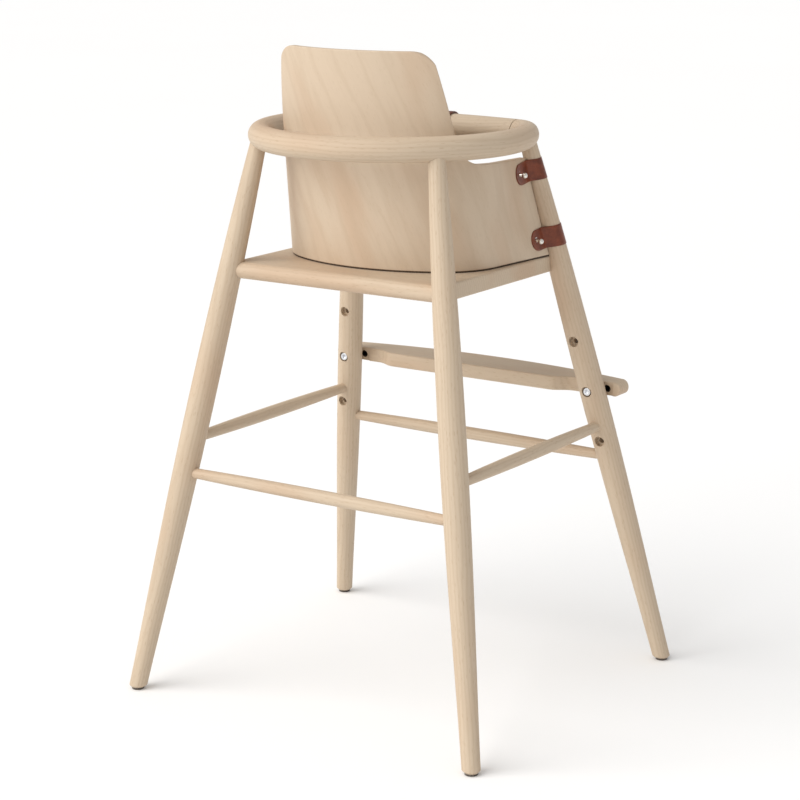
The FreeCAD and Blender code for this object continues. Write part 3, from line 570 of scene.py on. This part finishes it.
def face_outwards(piece: Piece) -> None:
    """Merge doubles and point all faces out."""
    choose(piece)
    bpy.ops.object.mode_set(mode="EDIT")
    bpy.ops.mesh.select_all(action="SELECT")
    bpy.ops.mesh.remove_doubles(threshold=1e-6)
    bpy.ops.mesh.normals_make_consistent(inside=False)
    bpy.ops.object.mode_set(mode="OBJECT")


def joined(name: str, parts: Sequence[Piece]) -> Piece:
    """Join several objects into one of that name."""
    clear_selection()
    for part in parts:
        part.select_set(True)
    bpy.context.view_layer.objects.active = parts[0]
    if len(parts) > 1:
        bpy.ops.object.join()
    return newest(name)


def copy_at(master: Piece, name: str, place: Matrix) -> Piece:
    """A copy with its own mesh, moved in its mesh."""
    mesh = master.data.copy()
    mesh.transform(place)
    if place.determinant() < 0:
        mesh.flip_normals()
    made = bpy.data.objects.new(name, mesh)
    mesh.name = name
    bpy.context.scene.collection.objects.link(made)
    return made


def remove(piece: Piece) -> None:
    """Delete a helper object."""
    bpy.data.objects.remove(piece, do_unlink=True)


def carve(piece: Piece, cutter: Piece) -> None:
    """Cut one object out of another and delete the cutter."""
    apply_modifier(piece, "BOOLEAN", operation="DIFFERENCE", solver="EXACT", object=cutter)
    remove(cutter)


def facing(point: Point, outward: Point) -> Matrix:
    """A frame at a point whose Z points outward and whose X lies level."""
    z = Vector(outward).normalized()
    x = Vector((0, 0, 1)).cross(z).normalized()
    y = z.cross(x)
    turn = Matrix((x, y, z)).transposed().to_4x4()
    return Matrix.Translation(Vector(point)) @ turn


MIRROR = Matrix.Diagonal((-1, 1, 1, 1))


def finished(piece: Piece, *finishes: Material) -> None:
    """Replace an object's materials."""
    piece.data.materials.clear()
    for finish in finishes:
        piece.data.materials.append(finish)


def ridden(piece: Piece, body: str, slot: str, node: str,
           *finishes: Material) -> None:
    """Finish a piece and hand it to its body.

    Args:
        piece: the object.
        body: the body it moves with.
        slot: the name of its material slot; not used.
        node: the CAD node it stands for.
        finishes: its materials, the cut edge's last.
    """
    finished(piece, *finishes)
    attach(piece, body)
    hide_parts(node)
    log.info("%s rides on %s, %d faces", piece.name, body, len(piece.data.polygons))


# ---- wood
@dataclass
class Woodwork:
    """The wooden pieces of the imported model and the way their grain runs.

    Attributes:
        rear_foot: foot of the left rear leg's middle line.
        rear_top: its top.
        front_foot: foot of the left front leg's middle line.
        front_top: its top.
        ring_middle: centre of the arm ring.
        ring_radius: radius of its middle line.
        shell_middle: a point of the upright line that the back shell bends round.
        shell_radius: radius of that bend.
        beech: finish of the solid wood.
        veneer: finish of the back shell.
    """

    rear_foot: Point = (0.2440, 0.2276, 0.0)
    rear_top: Point = (0.12348, 0.11837, 0.684)
    front_foot: Point = (0.2497, -0.2276, 0.0)
    front_top: Point = (0.12310, -0.07916, 0.684)
    ring_middle: Point = (0.0, 0.0198, 0.684)
    ring_radius: float = 0.158
    shell_middle: Point = (0, -0.03, 0.5)
    shell_radius: float = 0.15
    beech: Beech = field(default_factory=Beech)
    veneer: Veneer = field(default_factory=Veneer)

    def lines(self) -> dict[str, Grain]:
        """The grain of every plain beech piece, by node."""
        def leg(foot: Point, top: Point, side: int, turn: float, phase: int) -> Grain:
            """Along a leg; side is 1 on the left and -1 on the right."""
            ends = ((side * x, y, z) for x, y, z in (foot, top))
            return Grain(Run.STRAIGHT, *ends, turn=turn, phase=phase)

        def sideways(y: float, z: float, turn: float, phase: int) -> Grain:
            """Along X."""
            return Grain(Run.STRAIGHT, (-1, y, z), (1, y, z), turn=turn, phase=phase)

        def lengthways(x: float, z: float, turn: float, phase: int) -> Grain:
            """Along Y."""
            return Grain(Run.STRAIGHT, (x, -1, z), (x, 1, z), turn=turn, phase=phase)

        return {
            "leg_rear_left": leg(self.rear_foot, self.rear_top, 1, turn=0.5, phase=1),
            "leg_rear_right": leg(self.rear_foot, self.rear_top, -1, turn=1.1, phase=2),
            "leg_front_left": leg(self.front_foot, self.front_top, 1, turn=2.0, phase=3),
            "leg_front_right": leg(self.front_foot, self.front_top, -1, turn=0.2, phase=4),
            "stretcher_rear": sideways(0.1835, 0.2765, turn=0.8, phase=5),
            "stretcher_front": sideways(-0.1676, 0.2765, turn=0.3, phase=6),
            "stretcher_left": lengthways(0.19, 0.317, turn=1.4, phase=7),
            "stretcher_right": lengthways(-0.19, 0.317, turn=0.9, phase=8),
            "arm_ring": Grain(Run.BENT, self.ring_middle, radius=self.ring_radius,
                              turn=1.2, phase=9),
            "front_bar": sideways(-0.086, 0.684, turn=0.6, phase=10),
            "seat_board": sideways(0.01, 0.560, turn=1.25, phase=11),
            "footrest_board": sideways(-0.19, 0.375, turn=1.5, phase=12),
            "ring_dowels": Grain(Run.STRAIGHT, turn=0.4, phase=13),
            "seat_dowels": lengthways(0, 0.524, turn=0.7, phase=14),
        }

    def dress(self, nodes: dict[str, Piece]) -> None:
        """Give every wooden node its own beech."""
        for name, grain in self.lines().items():
            self.put(nodes[name], self.beech.dress("beech_" + name, grain))
        shell = Grain(Run.VENEER, self.shell_middle, radius=self.shell_radius, phase=15)
        self.put(nodes["back_shell"], self.veneer.dress("veneer_back_shell", shell))

    @staticmethod
    def put(piece: Piece, finish: Material) -> None:
        """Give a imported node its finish."""
        finished(piece, finish)
        log.info("%s is dressed in %s", piece.name, finish.name)


# ---- leather
@dataclass(frozen=True)
class StrapLine:
    """Plan of a leg strap at one height, on its inner face.

    Attributes:
        axis: middle of the leg.
        radius: of the wrap.
        leave: bearing from +Y towards +X where the tail leaves the leg.
        arrive: bearing where the inner end leaves it.
        land: where the tail meets the shell.
        tip: the tail's tip.
        rest: where the inner end meets the shell.
        end: the inner end's tip.
        lean: of the strap's own upright, in x and y per unit of height.
        start_turn: from midway between arrive and leave to where both bands start.
    """

    axis: Point
    radius: float
    leave: float
    arrive: float
    land: Point
    tip: Point
    rest: Point
    end: Point
    lean: tuple[float, float] = (-0.0925, 0.1085)
    start_turn: float = 62

    def on_wrap(self, bearing: float) -> Vector:
        """A point of the wrap."""
        turn = math.radians(bearing)
        level = Vector((math.sin(turn), math.cos(turn), 0)) * self.radius
        upright = Vector((0, 0, 1))
        return Vector(self.axis) + upright.rotation_difference(Vector((*self.lean, 1))) @ level

    def run(self, bearing: float, steps: int, *ends: Point) -> list[Vector]:
        """From the shared start round the wrap to a bearing, then through the ends."""
        start = (self.leave + self.arrive) / 2 + self.start_turn
        wrap = [self.on_wrap(start + (bearing - start) * step / steps)
                for step in range(steps + 1)]
        return wrap + [Vector(point) for point in ends]

    def tail_run(self) -> list[Vector]:
        """Round the leg's front to the tail's tip."""
        return self.run(self.leave, 20, self.land, self.tip)

    def inner_run(self) -> list[Vector]:
        """The other way round, to the inner end's tip."""
        return self.run(self.arrive, 8, self.rest, self.end)


def lengths(points: Sequence[Vector]) -> list[float]:
    """Length of each stretch of a polyline."""
    return [(b - a).length for a, b in zip(points, points[1:])]


def point_at(points: Sequence[Vector], share: float) -> Vector:
    """The point at a share of a polyline's length."""
    stretches = lengths(points)
    left = share * sum(stretches)
    for index, stretch in enumerate(stretches[:-1]):
        if left <= stretch:
            return points[index].lerp(points[index + 1], left / stretch)
        left -= stretch
    return points[-2].lerp(points[-1], min(1.0, left / stretches[-1]))


@dataclass
class LeatherBand:
    """A flat band with one rounded end, laid along a path and given thickness.

    Attributes:
        width: of the band.
        thick: of the leather.
        rows: faces across.
        soft: rounding of its edges.
    """

    width: float = 0.026
    thick: float = 0.0024
    rows: int = 10
    soft: float = 0.0006

    def flat(self, name: str, length: float, columns: int) -> Piece:
        """A grid from x 0 to its rounded end at x = length, y across.

        Args:
            name: the object's name.
            length: of the band.
            columns: faces along.

        Returns:
            The flat band.
        """
        clear_selection()
        bpy.ops.mesh.primitive_grid_add(x_subdivisions=columns, y_subdivisions=self.rows, size=1)
        piece = newest(name)
        half = self.width / 2
        for vertex in piece.data.vertices:
            along, side = (vertex.co.x + 0.5) * length, vertex.co.y * 2
            over = (along - (length - half)) / half
            if over > 0:
                along = length - half + half * over * math.sqrt(1 - side * side / 2)
                side *= math.sqrt(1 - over * over / 2)
            vertex.co = (along, side * half, 0)
        return piece

    def lay(self, piece: Piece, length: float, low: Sequence[Vector],
            high: Sequence[Vector]) -> None:
        """Wrap a flat band on the surface between two lines.

        Args:
            piece: the flat band.
            length: its flat length.
            low: the lower line.
            high: the upper line.
        """
        for vertex in piece.data.vertices:
            share = min(1.0, max(0.0, vertex.co.x / length))
            up = vertex.co.y / self.width + 0.5
            vertex.co = point_at(low, share).lerp(point_at(high, share), up)

    def button_hole(self, piece: Piece, place: Matrix, hole: float,
                    slit: tuple[float, float]) -> None:
        """Cut a round hole and a narrow slit beside it.

        Args:
            piece: the thickened band.
            place: frame of the hole, its Z along the stud.
            hole: diameter of the hole.
            slit: its extent in the frame's X and Y; the longer one starts at the hole.
        """
        through = 0.02
        middle = (-slit[0] / 2, 0, 0) if slit[0] > slit[1] else (0, -slit[1] / 2, 0)
        slot = block("slit_tool", (*slit, through), middle)
        for tool in (slot, cylinder("hole_tool", 32, hole, through)):
            tool.data.transform(place)
            carve(piece, tool)

    def thicken(self, piece: Piece, outwards: bool) -> None:
        """Give the sheet its thickness and soft edges; the rim takes the second finish."""
        apply_modifier(piece, "SOLIDIFY", thickness=self.thick, use_even_offset=True,
                       offset=1.0 if outwards else -1.0, material_offset_rim=1)
        face_outwards(piece)
        apply_modifier(piece, "BEVEL", width=self.soft, segments=2, limit_method="ANGLE",
                       angle_limit=math.radians(60), loop_slide=False)


UPPER_LINES = (
    StrapLine(axis=(0.133466, -0.091315, 0.628), radius=0.012193,
              leave=38.431, arrive=273.164,
              land=(0.132905, -0.075336, 0.626214), tip=(0.136418, -0.042056, 0.622928),
              rest=(0.122322, -0.074532, 0.625148), end=(0.125760, -0.041315, 0.621862)),
    StrapLine(axis=(0.128838, -0.085889, 0.653003), radius=0.011290,
              leave=42.318, arrive=272.996,
              land=(0.129052, -0.070834, 0.651389), tip=(0.134168, -0.037712, 0.648269),
              rest=(0.118523, -0.069512, 0.650271), end=(0.123559, -0.036446, 0.647149)),
)
LOWER_LINES = (
    StrapLine(axis=(0.148458, -0.108893, 0.547), radius=0.014691,
              leave=35.980, arrive=281.843,
              land=(0.147902, -0.090377, 0.544939), tip=(0.146689, -0.065, 0.542074),
              rest=(0.137313, -0.091265, 0.544056), end=(0.136061, -0.065951, 0.541193)),
    StrapLine(axis=(0.143830, -0.103467, 0.572003), radius=0.014175,
              leave=35.029, arrive=278.234,
              land=(0.142830, -0.085499, 0.569961), tip=(0.142821, -0.060043, 0.567198),
              rest=(0.132214, -0.085871, 0.569019), end=(0.132160, -0.060474, 0.566258)),
)


@dataclass
class LegStrap:
    """One leather strap round a front leg, buttoned on a stud of the shell.

    Attributes:
        stem: upper or lower.
        lines: its plan at its lower and upper edge.
        stud: foot of its stud on the shell's outer face.
        outward: the way the stud points.
        hinge: where the tail starts to bend, at middle height; not used.
        band: the leather's section.
        hole: diameter of the button hole.
        slit: length towards the leg and width of the slit beside it.
        bend: half of the stretch in which the tail bends; not used.
        columns: faces along each band.
    """

    stem: str
    lines: tuple[StrapLine, StrapLine]
    stud: Point
    outward: Point
    hinge: Point
    band: LeatherBand = field(default_factory=LeatherBand)
    hole: float = 0.0046
    slit: tuple[float, float] = (0.0060, 0.0005)
    bend: Point = (0.003, 0.003, 0)
    columns: int = 56

    def piece(self, name: str, low: list[Vector], high: list[Vector],
              outwards: bool) -> Piece:
        """A laid and thickened band between two lines."""
        length = sum(lengths(low))
        sheet = self.band.flat(name, length, self.columns)
        self.band.lay(sheet, length, low, high)
        self.band.thicken(sheet, outwards)
        smooth(sheet, LEATHER_SMOOTH)
        return sheet

    def build(self, finish: Material, edge: Material) -> None:
        """Model both sides' loops and tails."""
        tail = self.piece("tail_master", *(line.tail_run() for line in self.lines), False)
        inner = self.piece("inner_master", *(line.inner_run() for line in self.lines), True)
        place = facing(self.stud, self.outward)
        self.band.button_hole(tail, place, self.hole, self.slit)
        for side, mirror in (("left", Matrix.Identity(4)), ("right", MIRROR)):
            loop, hinged = f"strap_{self.stem}_{side}", f"strap_{self.stem}_tail_{side}"
            wrap = copy_at(inner, f"leather_{self.stem}_inner_{side}", mirror)
            band = copy_at(tail, f"leather_{self.stem}_band_{side}", mirror)
            ridden(wrap, FRAME_BODY, "leather", loop, finish, edge)
            finished(band, finish, edge)
            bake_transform(band)
            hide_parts(hinged)
            log.info("%s bends at %s", band.name, hinged)
        remove(tail)
        remove(inner)


@dataclass
class CrotchStrap:
    """The strap between the child's legs: looped over the bar, buttoned on the seat's front.

    Attributes:
        bar: middle of the front bar.
        wrap: radius of the leather's inner face round the bar.
        seat_face: y of the leather's inner face in front of the seat.
        seat_top: height of the seat's top face.
        tip: height of the tail's tip.
        stud: foot of the stud.
        hole: diameter of the button hole and width of its slot.
        slit: length of the slot below the button hole.
        under: bearing round the bar, from +Y, at which the wrap starts.
        joint: from the wrap down the web to the inner end.
        lap: length of the inner end along the web.
        gap: between the inner end and the web.
        band: the leather's section.
    """

    bar: Point = (0.0, -0.0900697, 0.684)
    wrap: float = 0.0150
    seat_face: float = -0.121684
    seat_top: float = 0.536
    tip: float = 0.490
    stud: Point = (0.0, -0.119884, 0.524)
    hole: float = 0.0054
    slit: float = 0.022
    under: float = -72.0
    joint: float = 0.020
    lap: float = 0.013
    gap: float = 0.0004
    band: LeatherBand = field(default_factory=lambda: LeatherBand(width=0.030))

    def line(self) -> list[Vector]:
        """The leather's inner face, from behind the web round the bar to the tip."""
        def around(bearing: float) -> Vector:
            """A point of the wrap."""
            turn = math.radians(bearing)
            return Vector(self.bar) + Vector((0, math.cos(turn), math.sin(turn))) * self.wrap

        face = Vector((0, self.seat_face, self.seat_top))
        away = face - Vector(self.bar)
        leave = math.degrees(math.atan2(away.z, away.y)) % 360
        leave -= math.degrees(math.acos(self.wrap / away.length))
        web_top = around(leave)
        down = (face - web_top).normalized()
        steps = 36
        wrap = [around(self.under + (leave - self.under) * step / steps)
                for step in range(steps + 1)]
        back = Vector((0, self.band.thick + self.gap, 0))
        joint = web_top + down * self.joint
        inner_end = [joint + down * self.lap + back, joint + back]
        return inner_end + wrap + [face, Vector((0, self.seat_face, self.tip))]

    def build(self, finish: Material, edge: Material) -> None:
        """Model the strap."""
        line = self.line()
        length = sum(lengths(line))
        side = Vector((self.band.width / 2, 0, 0))
        sheet = self.band.flat("leather_crotch_strap", length, 150)
        self.band.lay(sheet, length, [p - side for p in line], [p + side for p in line])
        self.band.thicken(sheet, True)
        place = facing(self.stud, (0, -1, 0))
        self.band.button_hole(sheet, place, self.hole, (self.hole, self.slit))
        self.band.button_hole(sheet, Matrix.Translation((0, 0, -self.slit)) @ place, self.hole,
                              (self.hole, self.hole * 1.01))
        smooth(sheet, LEATHER_SMOOTH)
        ridden(sheet, "front_bar", "leather_dark", "crotch_strap", finish, edge)


# ---- hardware
@dataclass
class BallStud:
    """A turned ball stud with a driver slot across its ball.

    Attributes:
        ball: its diameter.
        neck: diameter of the neck.
        flange: diameter of the flange on the panel.
        plate: thickness of the flange.
        stem: length of the neck, which ends inside the ball.
        rise: height of the ball's middle above the panel.
        slot: width and twice the depth of the driver slot.
    """

    ball: float = 0.0070
    neck: float = 0.0044
    flange: float = 0.0090
    plate: float = 0.0008
    stem: float = 0.00435
    rise: float = 0.00735
    slot: tuple[float, float] = (0.0009, 0.0022)

    def master(self, name: str) -> Piece:
        """One stud at the origin, pointing up."""
        foot = cylinder(name + "_foot", 40, self.flange, self.plate, self.plate / 2)
        pick_faces(foot, lambda face: face.normal.z > 0.9)
        step_faces((self.flange - self.neck) / 2, self.stem)
        bpy.ops.object.mode_set(mode="OBJECT")
        clear_selection()
        bpy.ops.mesh.primitive_uv_sphere_add(segments=40, ring_count=24, radius=self.ball / 2,
                                             location=(0, 0, self.rise))
        ball = settle(newest(name + "_ball"))
        carve(ball, block(name + "_slot", (self.ball * 1.4, *self.slot),
                          (0, 0, self.rise + self.ball / 2)))
        apply_modifier(foot, "BEVEL", width=0.0002, segments=2, limit_method="ANGLE")
        stud = joined(name, [foot, ball])
        smooth(stud, METAL_SMOOTH)
        return stud


@dataclass
class PanHead:
    """A slotted pan-head screw seen from its head.

    Attributes:
        head: diameter of the head.
        thick: its height.
        slot: width and twice the depth of the driver slot.
    """

    head: float = 0.0080
    thick: float = 0.0016
    slot: tuple[float, float] = (0.0011, 0.0014)

    def master(self, name: str) -> Piece:
        """One screw head at the origin, its underside on Z = 0 and its slot up."""
        piece = cylinder(name, 40, self.head, self.thick, self.thick / 2)
        apply_modifier(piece, "BEVEL", width=0.0007, segments=4, limit_method="ANGLE")
        carve(piece, block(name + "_slot", (self.head * 1.2, *self.slot), (0, 0, self.thick)))
        smooth(piece, METAL_SMOOTH)
        return piece


@dataclass
class SocketBolt:
    """A socket-head bolt as it shows in its counterbore.

    Attributes:
        head: diameter of the head.
        high: its height.
        socket: width across the socket's flats.
        deep: depth of the socket.
        shank: diameter of the shank.
        reach: length of the shank.
    """

    head: float = 0.0100
    high: float = 0.0060
    socket: float = 0.0050
    deep: float = 0.0035
    shank: float = 0.0060
    reach: float = 0.0408

    def master(self, name: str) -> Piece:
        """One bolt whose head's seat is at the origin, its socket up."""
        piece = cylinder(name, 48, self.head, self.high, self.high / 2)
        apply_modifier(piece, "BEVEL", width=0.0006, segments=3, limit_method="ANGLE")
        across_corners = self.socket / math.cos(math.pi / 6)
        carve(piece, cylinder(name + "_socket", 6, across_corners, 2 * self.deep, self.high))
        shank = cylinder(name + "_shank", 32, self.shank, self.reach, -self.reach / 2)
        apply_modifier(shank, "BEVEL", width=0.0006, segments=2, limit_method="ANGLE")
        bolt = joined(name, [piece, shank])
        smooth(bolt, METAL_SMOOTH)
        return bolt


@dataclass
class Glide:
    """A moulded glide under a foot: a shallow dome round a sunk nail head.

    Attributes:
        wide: its diameter.
        thick: its height.
        rim: width of its standing rim.
        dish: depth inside the rim.
        ledge: from the dish's edge to the nail head.
        nail: height of the nail head in the dish.
    """

    wide: float = 0.0150
    thick: float = 0.0030
    rim: float = 0.0045
    dish: float = 0.0009
    ledge: float = 0.00075
    nail: float = 0.0004

    def master(self, name: str) -> Piece:
        """One glide standing on Z = 0."""
        piece = cylinder(name, 48, self.wide, self.thick, self.thick / 2)
        pick_faces(piece, lambda face: face.normal.z < -0.9)
        step_faces(self.rim, self.dish)
        step_faces(self.ledge, -self.nail)
        bpy.ops.object.mode_set(mode="OBJECT")
        apply_modifier(piece, "BEVEL", width=0.0007, segments=3, limit_method="ANGLE",
                       angle_limit=math.radians(40))
        smooth(piece, 40)
        return piece


@dataclass
class Hardware:
    """The modelled studs, screws, bolts and glides, and finishes of the other small nodes.

    Attributes:
        bolt_seat: seat of the left bolt's head.
        foot_places: middles of the left feet, rear then front.
        screw_depth: how far the screw heads' undersides lie inside the shell's outer face.
    """

    bolt_seat: Point = (0.182643, -0.140619, 0.3623)
    foot_places: tuple[Point, Point] = ((0.24347, 0.22712, 0.0), (0.24915, -0.22695, 0.0))
    screw_depth: float = 0.0119

    @staticmethod
    def repeat(master: Piece, name: str, places: Sequence[Matrix]) -> Piece:
        """Copy a master to several places and join the copies."""
        copies = [copy_at(master, f"{name}_{index}", place) for index, place in enumerate(places)]
        remove(master)
        return joined(name, copies)

    @staticmethod
    def both_sides(places: Sequence[Matrix]) -> list[Matrix]:
        """The places and their mirror images."""
        return list(places) + [MIRROR @ place for place in places]

    def build(self, straps: Sequence[LegStrap], crotch: CrotchStrap) -> None:
        """Model all the small hardware."""
        nickel = Metal().dress("nickel")
        outer = self.both_sides([facing(s.stud, s.outward) for s in straps])
        studs = self.repeat(BallStud().master("ball_stud"), "ball_studs", outer)
        ridden(studs, FRAME_BODY, "nickel", "strap_studs", nickel)
        front = [facing(crotch.stud, (0, -1, 0))]
        crotch_stud = self.repeat(BallStud().master("ball_stud"), "crotch_ball_stud", front)
        ridden(crotch_stud, FRAME_BODY, "nickel", "crotch_stud", nickel)
        inner = self.both_sides([
            facing(Vector(s.stud) - Vector(s.outward) * self.screw_depth, -Vector(s.outward))
            for s in straps])
        screws = self.repeat(PanHead().master("pan_screw"), "pan_screws", inner)
        ridden(screws, FRAME_BODY, "nickel", "stud_screws", nickel)
        seats = self.both_sides([facing(self.bolt_seat, (0, 1, 0))])
        zinc = Metal(body=(0.74, 0.75, 0.77), roughness=0.22, dull=(0.55, 0.56, 0.60))
        bolts = self.repeat(SocketBolt().master("socket_bolt"), "socket_bolts", seats)
        ridden(bolts, FRAME_BODY, "zinc", "footrest_bolts", zinc.dress("zinc_plate"))
        feet = self.both_sides([Matrix.Translation(place) for place in self.foot_places])
        glides = self.repeat(Glide().master("glide"), "glides", feet)
        ridden(glides, FRAME_BODY, "glide_plastic", "foot_glides", Plastic().dress("glide_nylon"))

    def dress(self, nodes: dict[str, Piece]) -> None:
        """Give the small nodes that stay their finishes."""
        plain = Metal(body=(0.42, 0.41, 0.40), roughness=0.3)
        Woodwork.put(nodes["bar_studs"], plain.dress("plain_steel"))
        dark = Metal(body=(0.055, 0.045, 0.040), roughness=0.42, dull=(0.11, 0.08, 0.06))
        Woodwork.put(nodes["footrest_inserts"], dark.dress("blackened_steel"))
        Woodwork.put(nodes["shell_felt"], Felt().dress("dark_felt"))


# ---- studio
@dataclass
class Studio:
    """Pale floor, soft light and the camera.

    A way to a lamp is given towards the camera, to the camera's left and up.

    Attributes:
        eye: the camera's place.
        bearing: its azimuth, in degrees.
        height: its elevation, in degrees.
        lens: focal length in millimetres on a sensor of that width.
        sensor: the sensor's width in millimetres.
        key_way: the way to the sun.
        key: settings of the sun.
        side_way: the way to the side lamp.
        side: settings of the side lamp.
        lamp_reach: distance of the lamps from the chair's middle.
        surround: strength of the white surround.
    """

    eye: Point = (-1.47484, 2.21998, 0.99699)
    bearing: float = 213.67
    height: float = 13.55
    lens: float = 100.44
    sensor: float = 36
    key_way: Point = (0.55, 1.0, 0.80)
    key: dict = field(default_factory=lambda: {
        "energy": 2.30, "angle": math.radians(62), "color": (1.0, 0.985, 0.965)})
    side_way: Point = (0.35, 1.0, 0.35)
    side: dict = field(default_factory=lambda: {
        "shape": "SQUARE", "size": 1.3, "energy": 9, "color": (1.0, 0.98, 0.95)})
    lamp_reach: float = 3.0
    surround: float = 0.62

    def back(self) -> Vector:
        """The way from the chair to the camera."""
        turn, lift = math.radians(self.bearing), math.radians(self.height)
        level = math.cos(lift)
        return Vector((math.sin(turn) * level, -math.cos(turn) * level, math.sin(lift)))

    def camera(self) -> None:
        """Place the camera."""
        clear_selection()
        bpy.ops.object.camera_add(location=self.eye)
        camera = bpy.context.object
        camera.rotation_euler = (-self.back()).to_track_quat("-Z", "Y").to_euler()
        camera.data.lens = self.lens
        camera.data.sensor_width = self.sensor
        camera.data.clip_end = 60
        bpy.context.scene.camera = camera

    def floor(self) -> None:
        """A wide pale floor that the chair stands on."""
        clear_selection()
        bpy.ops.mesh.primitive_plane_add(size=60, location=(0, 0, -0.0002))
        plane = newest("floor")
        graph = Graph("pale_floor")
        cloud = graph.noise(graph.position(), scale=0.6, detail=2, roughness=0.5)
        tone = graph.blend(cloud, (0.93, 0.93, 0.93), (0.945, 0.945, 0.945))
        graph.surface({"Base Color": tone, "Roughness": 0.9, "Specular IOR Level": 0.1})
        plane.data.materials.append(graph.material)

    def lamp(self, kind: str, name: str, way: Point, settings: dict) -> None:
        """Add a lamp aimed at the chair's middle.

        Args:
            kind: SUN or AREA.
            name: the lamp's name.
            way: the way to it.
            settings: properties of its data.
        """
        back = self.back()
        left = Vector((back.y, -back.x, 0)).normalized()
        towards = back * way[0] + left * way[1] + Vector((0, 0, 1)) * way[2]
        middle = Vector((0, 0, 0.42))
        clear_selection()
        bpy.ops.object.light_add(
            type=kind, location=middle + towards.normalized() * self.lamp_reach)
        lamp = bpy.context.object
        lamp.name = name
        for key, setting in settings.items():
            setattr(lamp.data, key, setting)
        lamp.rotation_euler = (-towards).to_track_quat("-Z", "Y").to_euler()

    def light(self) -> None:
        """A soft key from the camera's left, a weak side lamp and a bright surround."""
        self.lamp("SUN", "key", self.key_way, self.key)
        self.lamp("AREA", "side", self.side_way, self.side)
        world = bpy.data.worlds.new("surround")
        world.use_nodes = True
        background = world.node_tree.nodes["Background"]
        background.inputs["Color"].default_value = (1, 1, 1, 1)
        background.inputs["Strength"].default_value = self.surround
        bpy.context.scene.world = world
        bpy.context.scene.view_settings.view_transform = "Standard"


def main() -> None:
    """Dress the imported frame, model the leather and hardware, and set the studio."""
    logging.basicConfig(level=logging.INFO, format="%(name)s: %(message)s")
    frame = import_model()
    studio = Studio()
    studio.camera()
    Woodwork().dress(frame["nodes"])
    straps = (
        LegStrap("upper", UPPER_LINES, stud=(0.132809, -0.049032, 0.636361),
                 outward=(0.993492, -0.113905, 0.0),
                 hinge=(0.140122, -0.077682, 0.640147)),
        LegStrap("lower", LOWER_LINES, stud=(0.143674, -0.071880, 0.555551),
                 outward=(0.999040, 0.043799, 0.0),
                 hinge=(0.155746, -0.092366, 0.558891)),
    )
    waxed = Leather().dress("waxed_leather")
    edge = Leather(body=(0.060, 0.020, 0.012), deep=(0.030, 0.010, 0.006),
                   roughness=0.45, coat=0.1).dress("burnished_edge")
    dark = Leather(body=(0.165, 0.044, 0.018), deep=(0.085, 0.022, 0.010)).dress("dark_leather")
    for strap in straps:
        strap.build(waxed, edge)
    crotch = CrotchStrap()
    crotch.build(dark, edge)
    hardware = Hardware()
    hardware.build(straps, crotch)
    hardware.dress(frame["nodes"])
    studio.floor()
    studio.light()


if __name__ == "__main__":
    main()
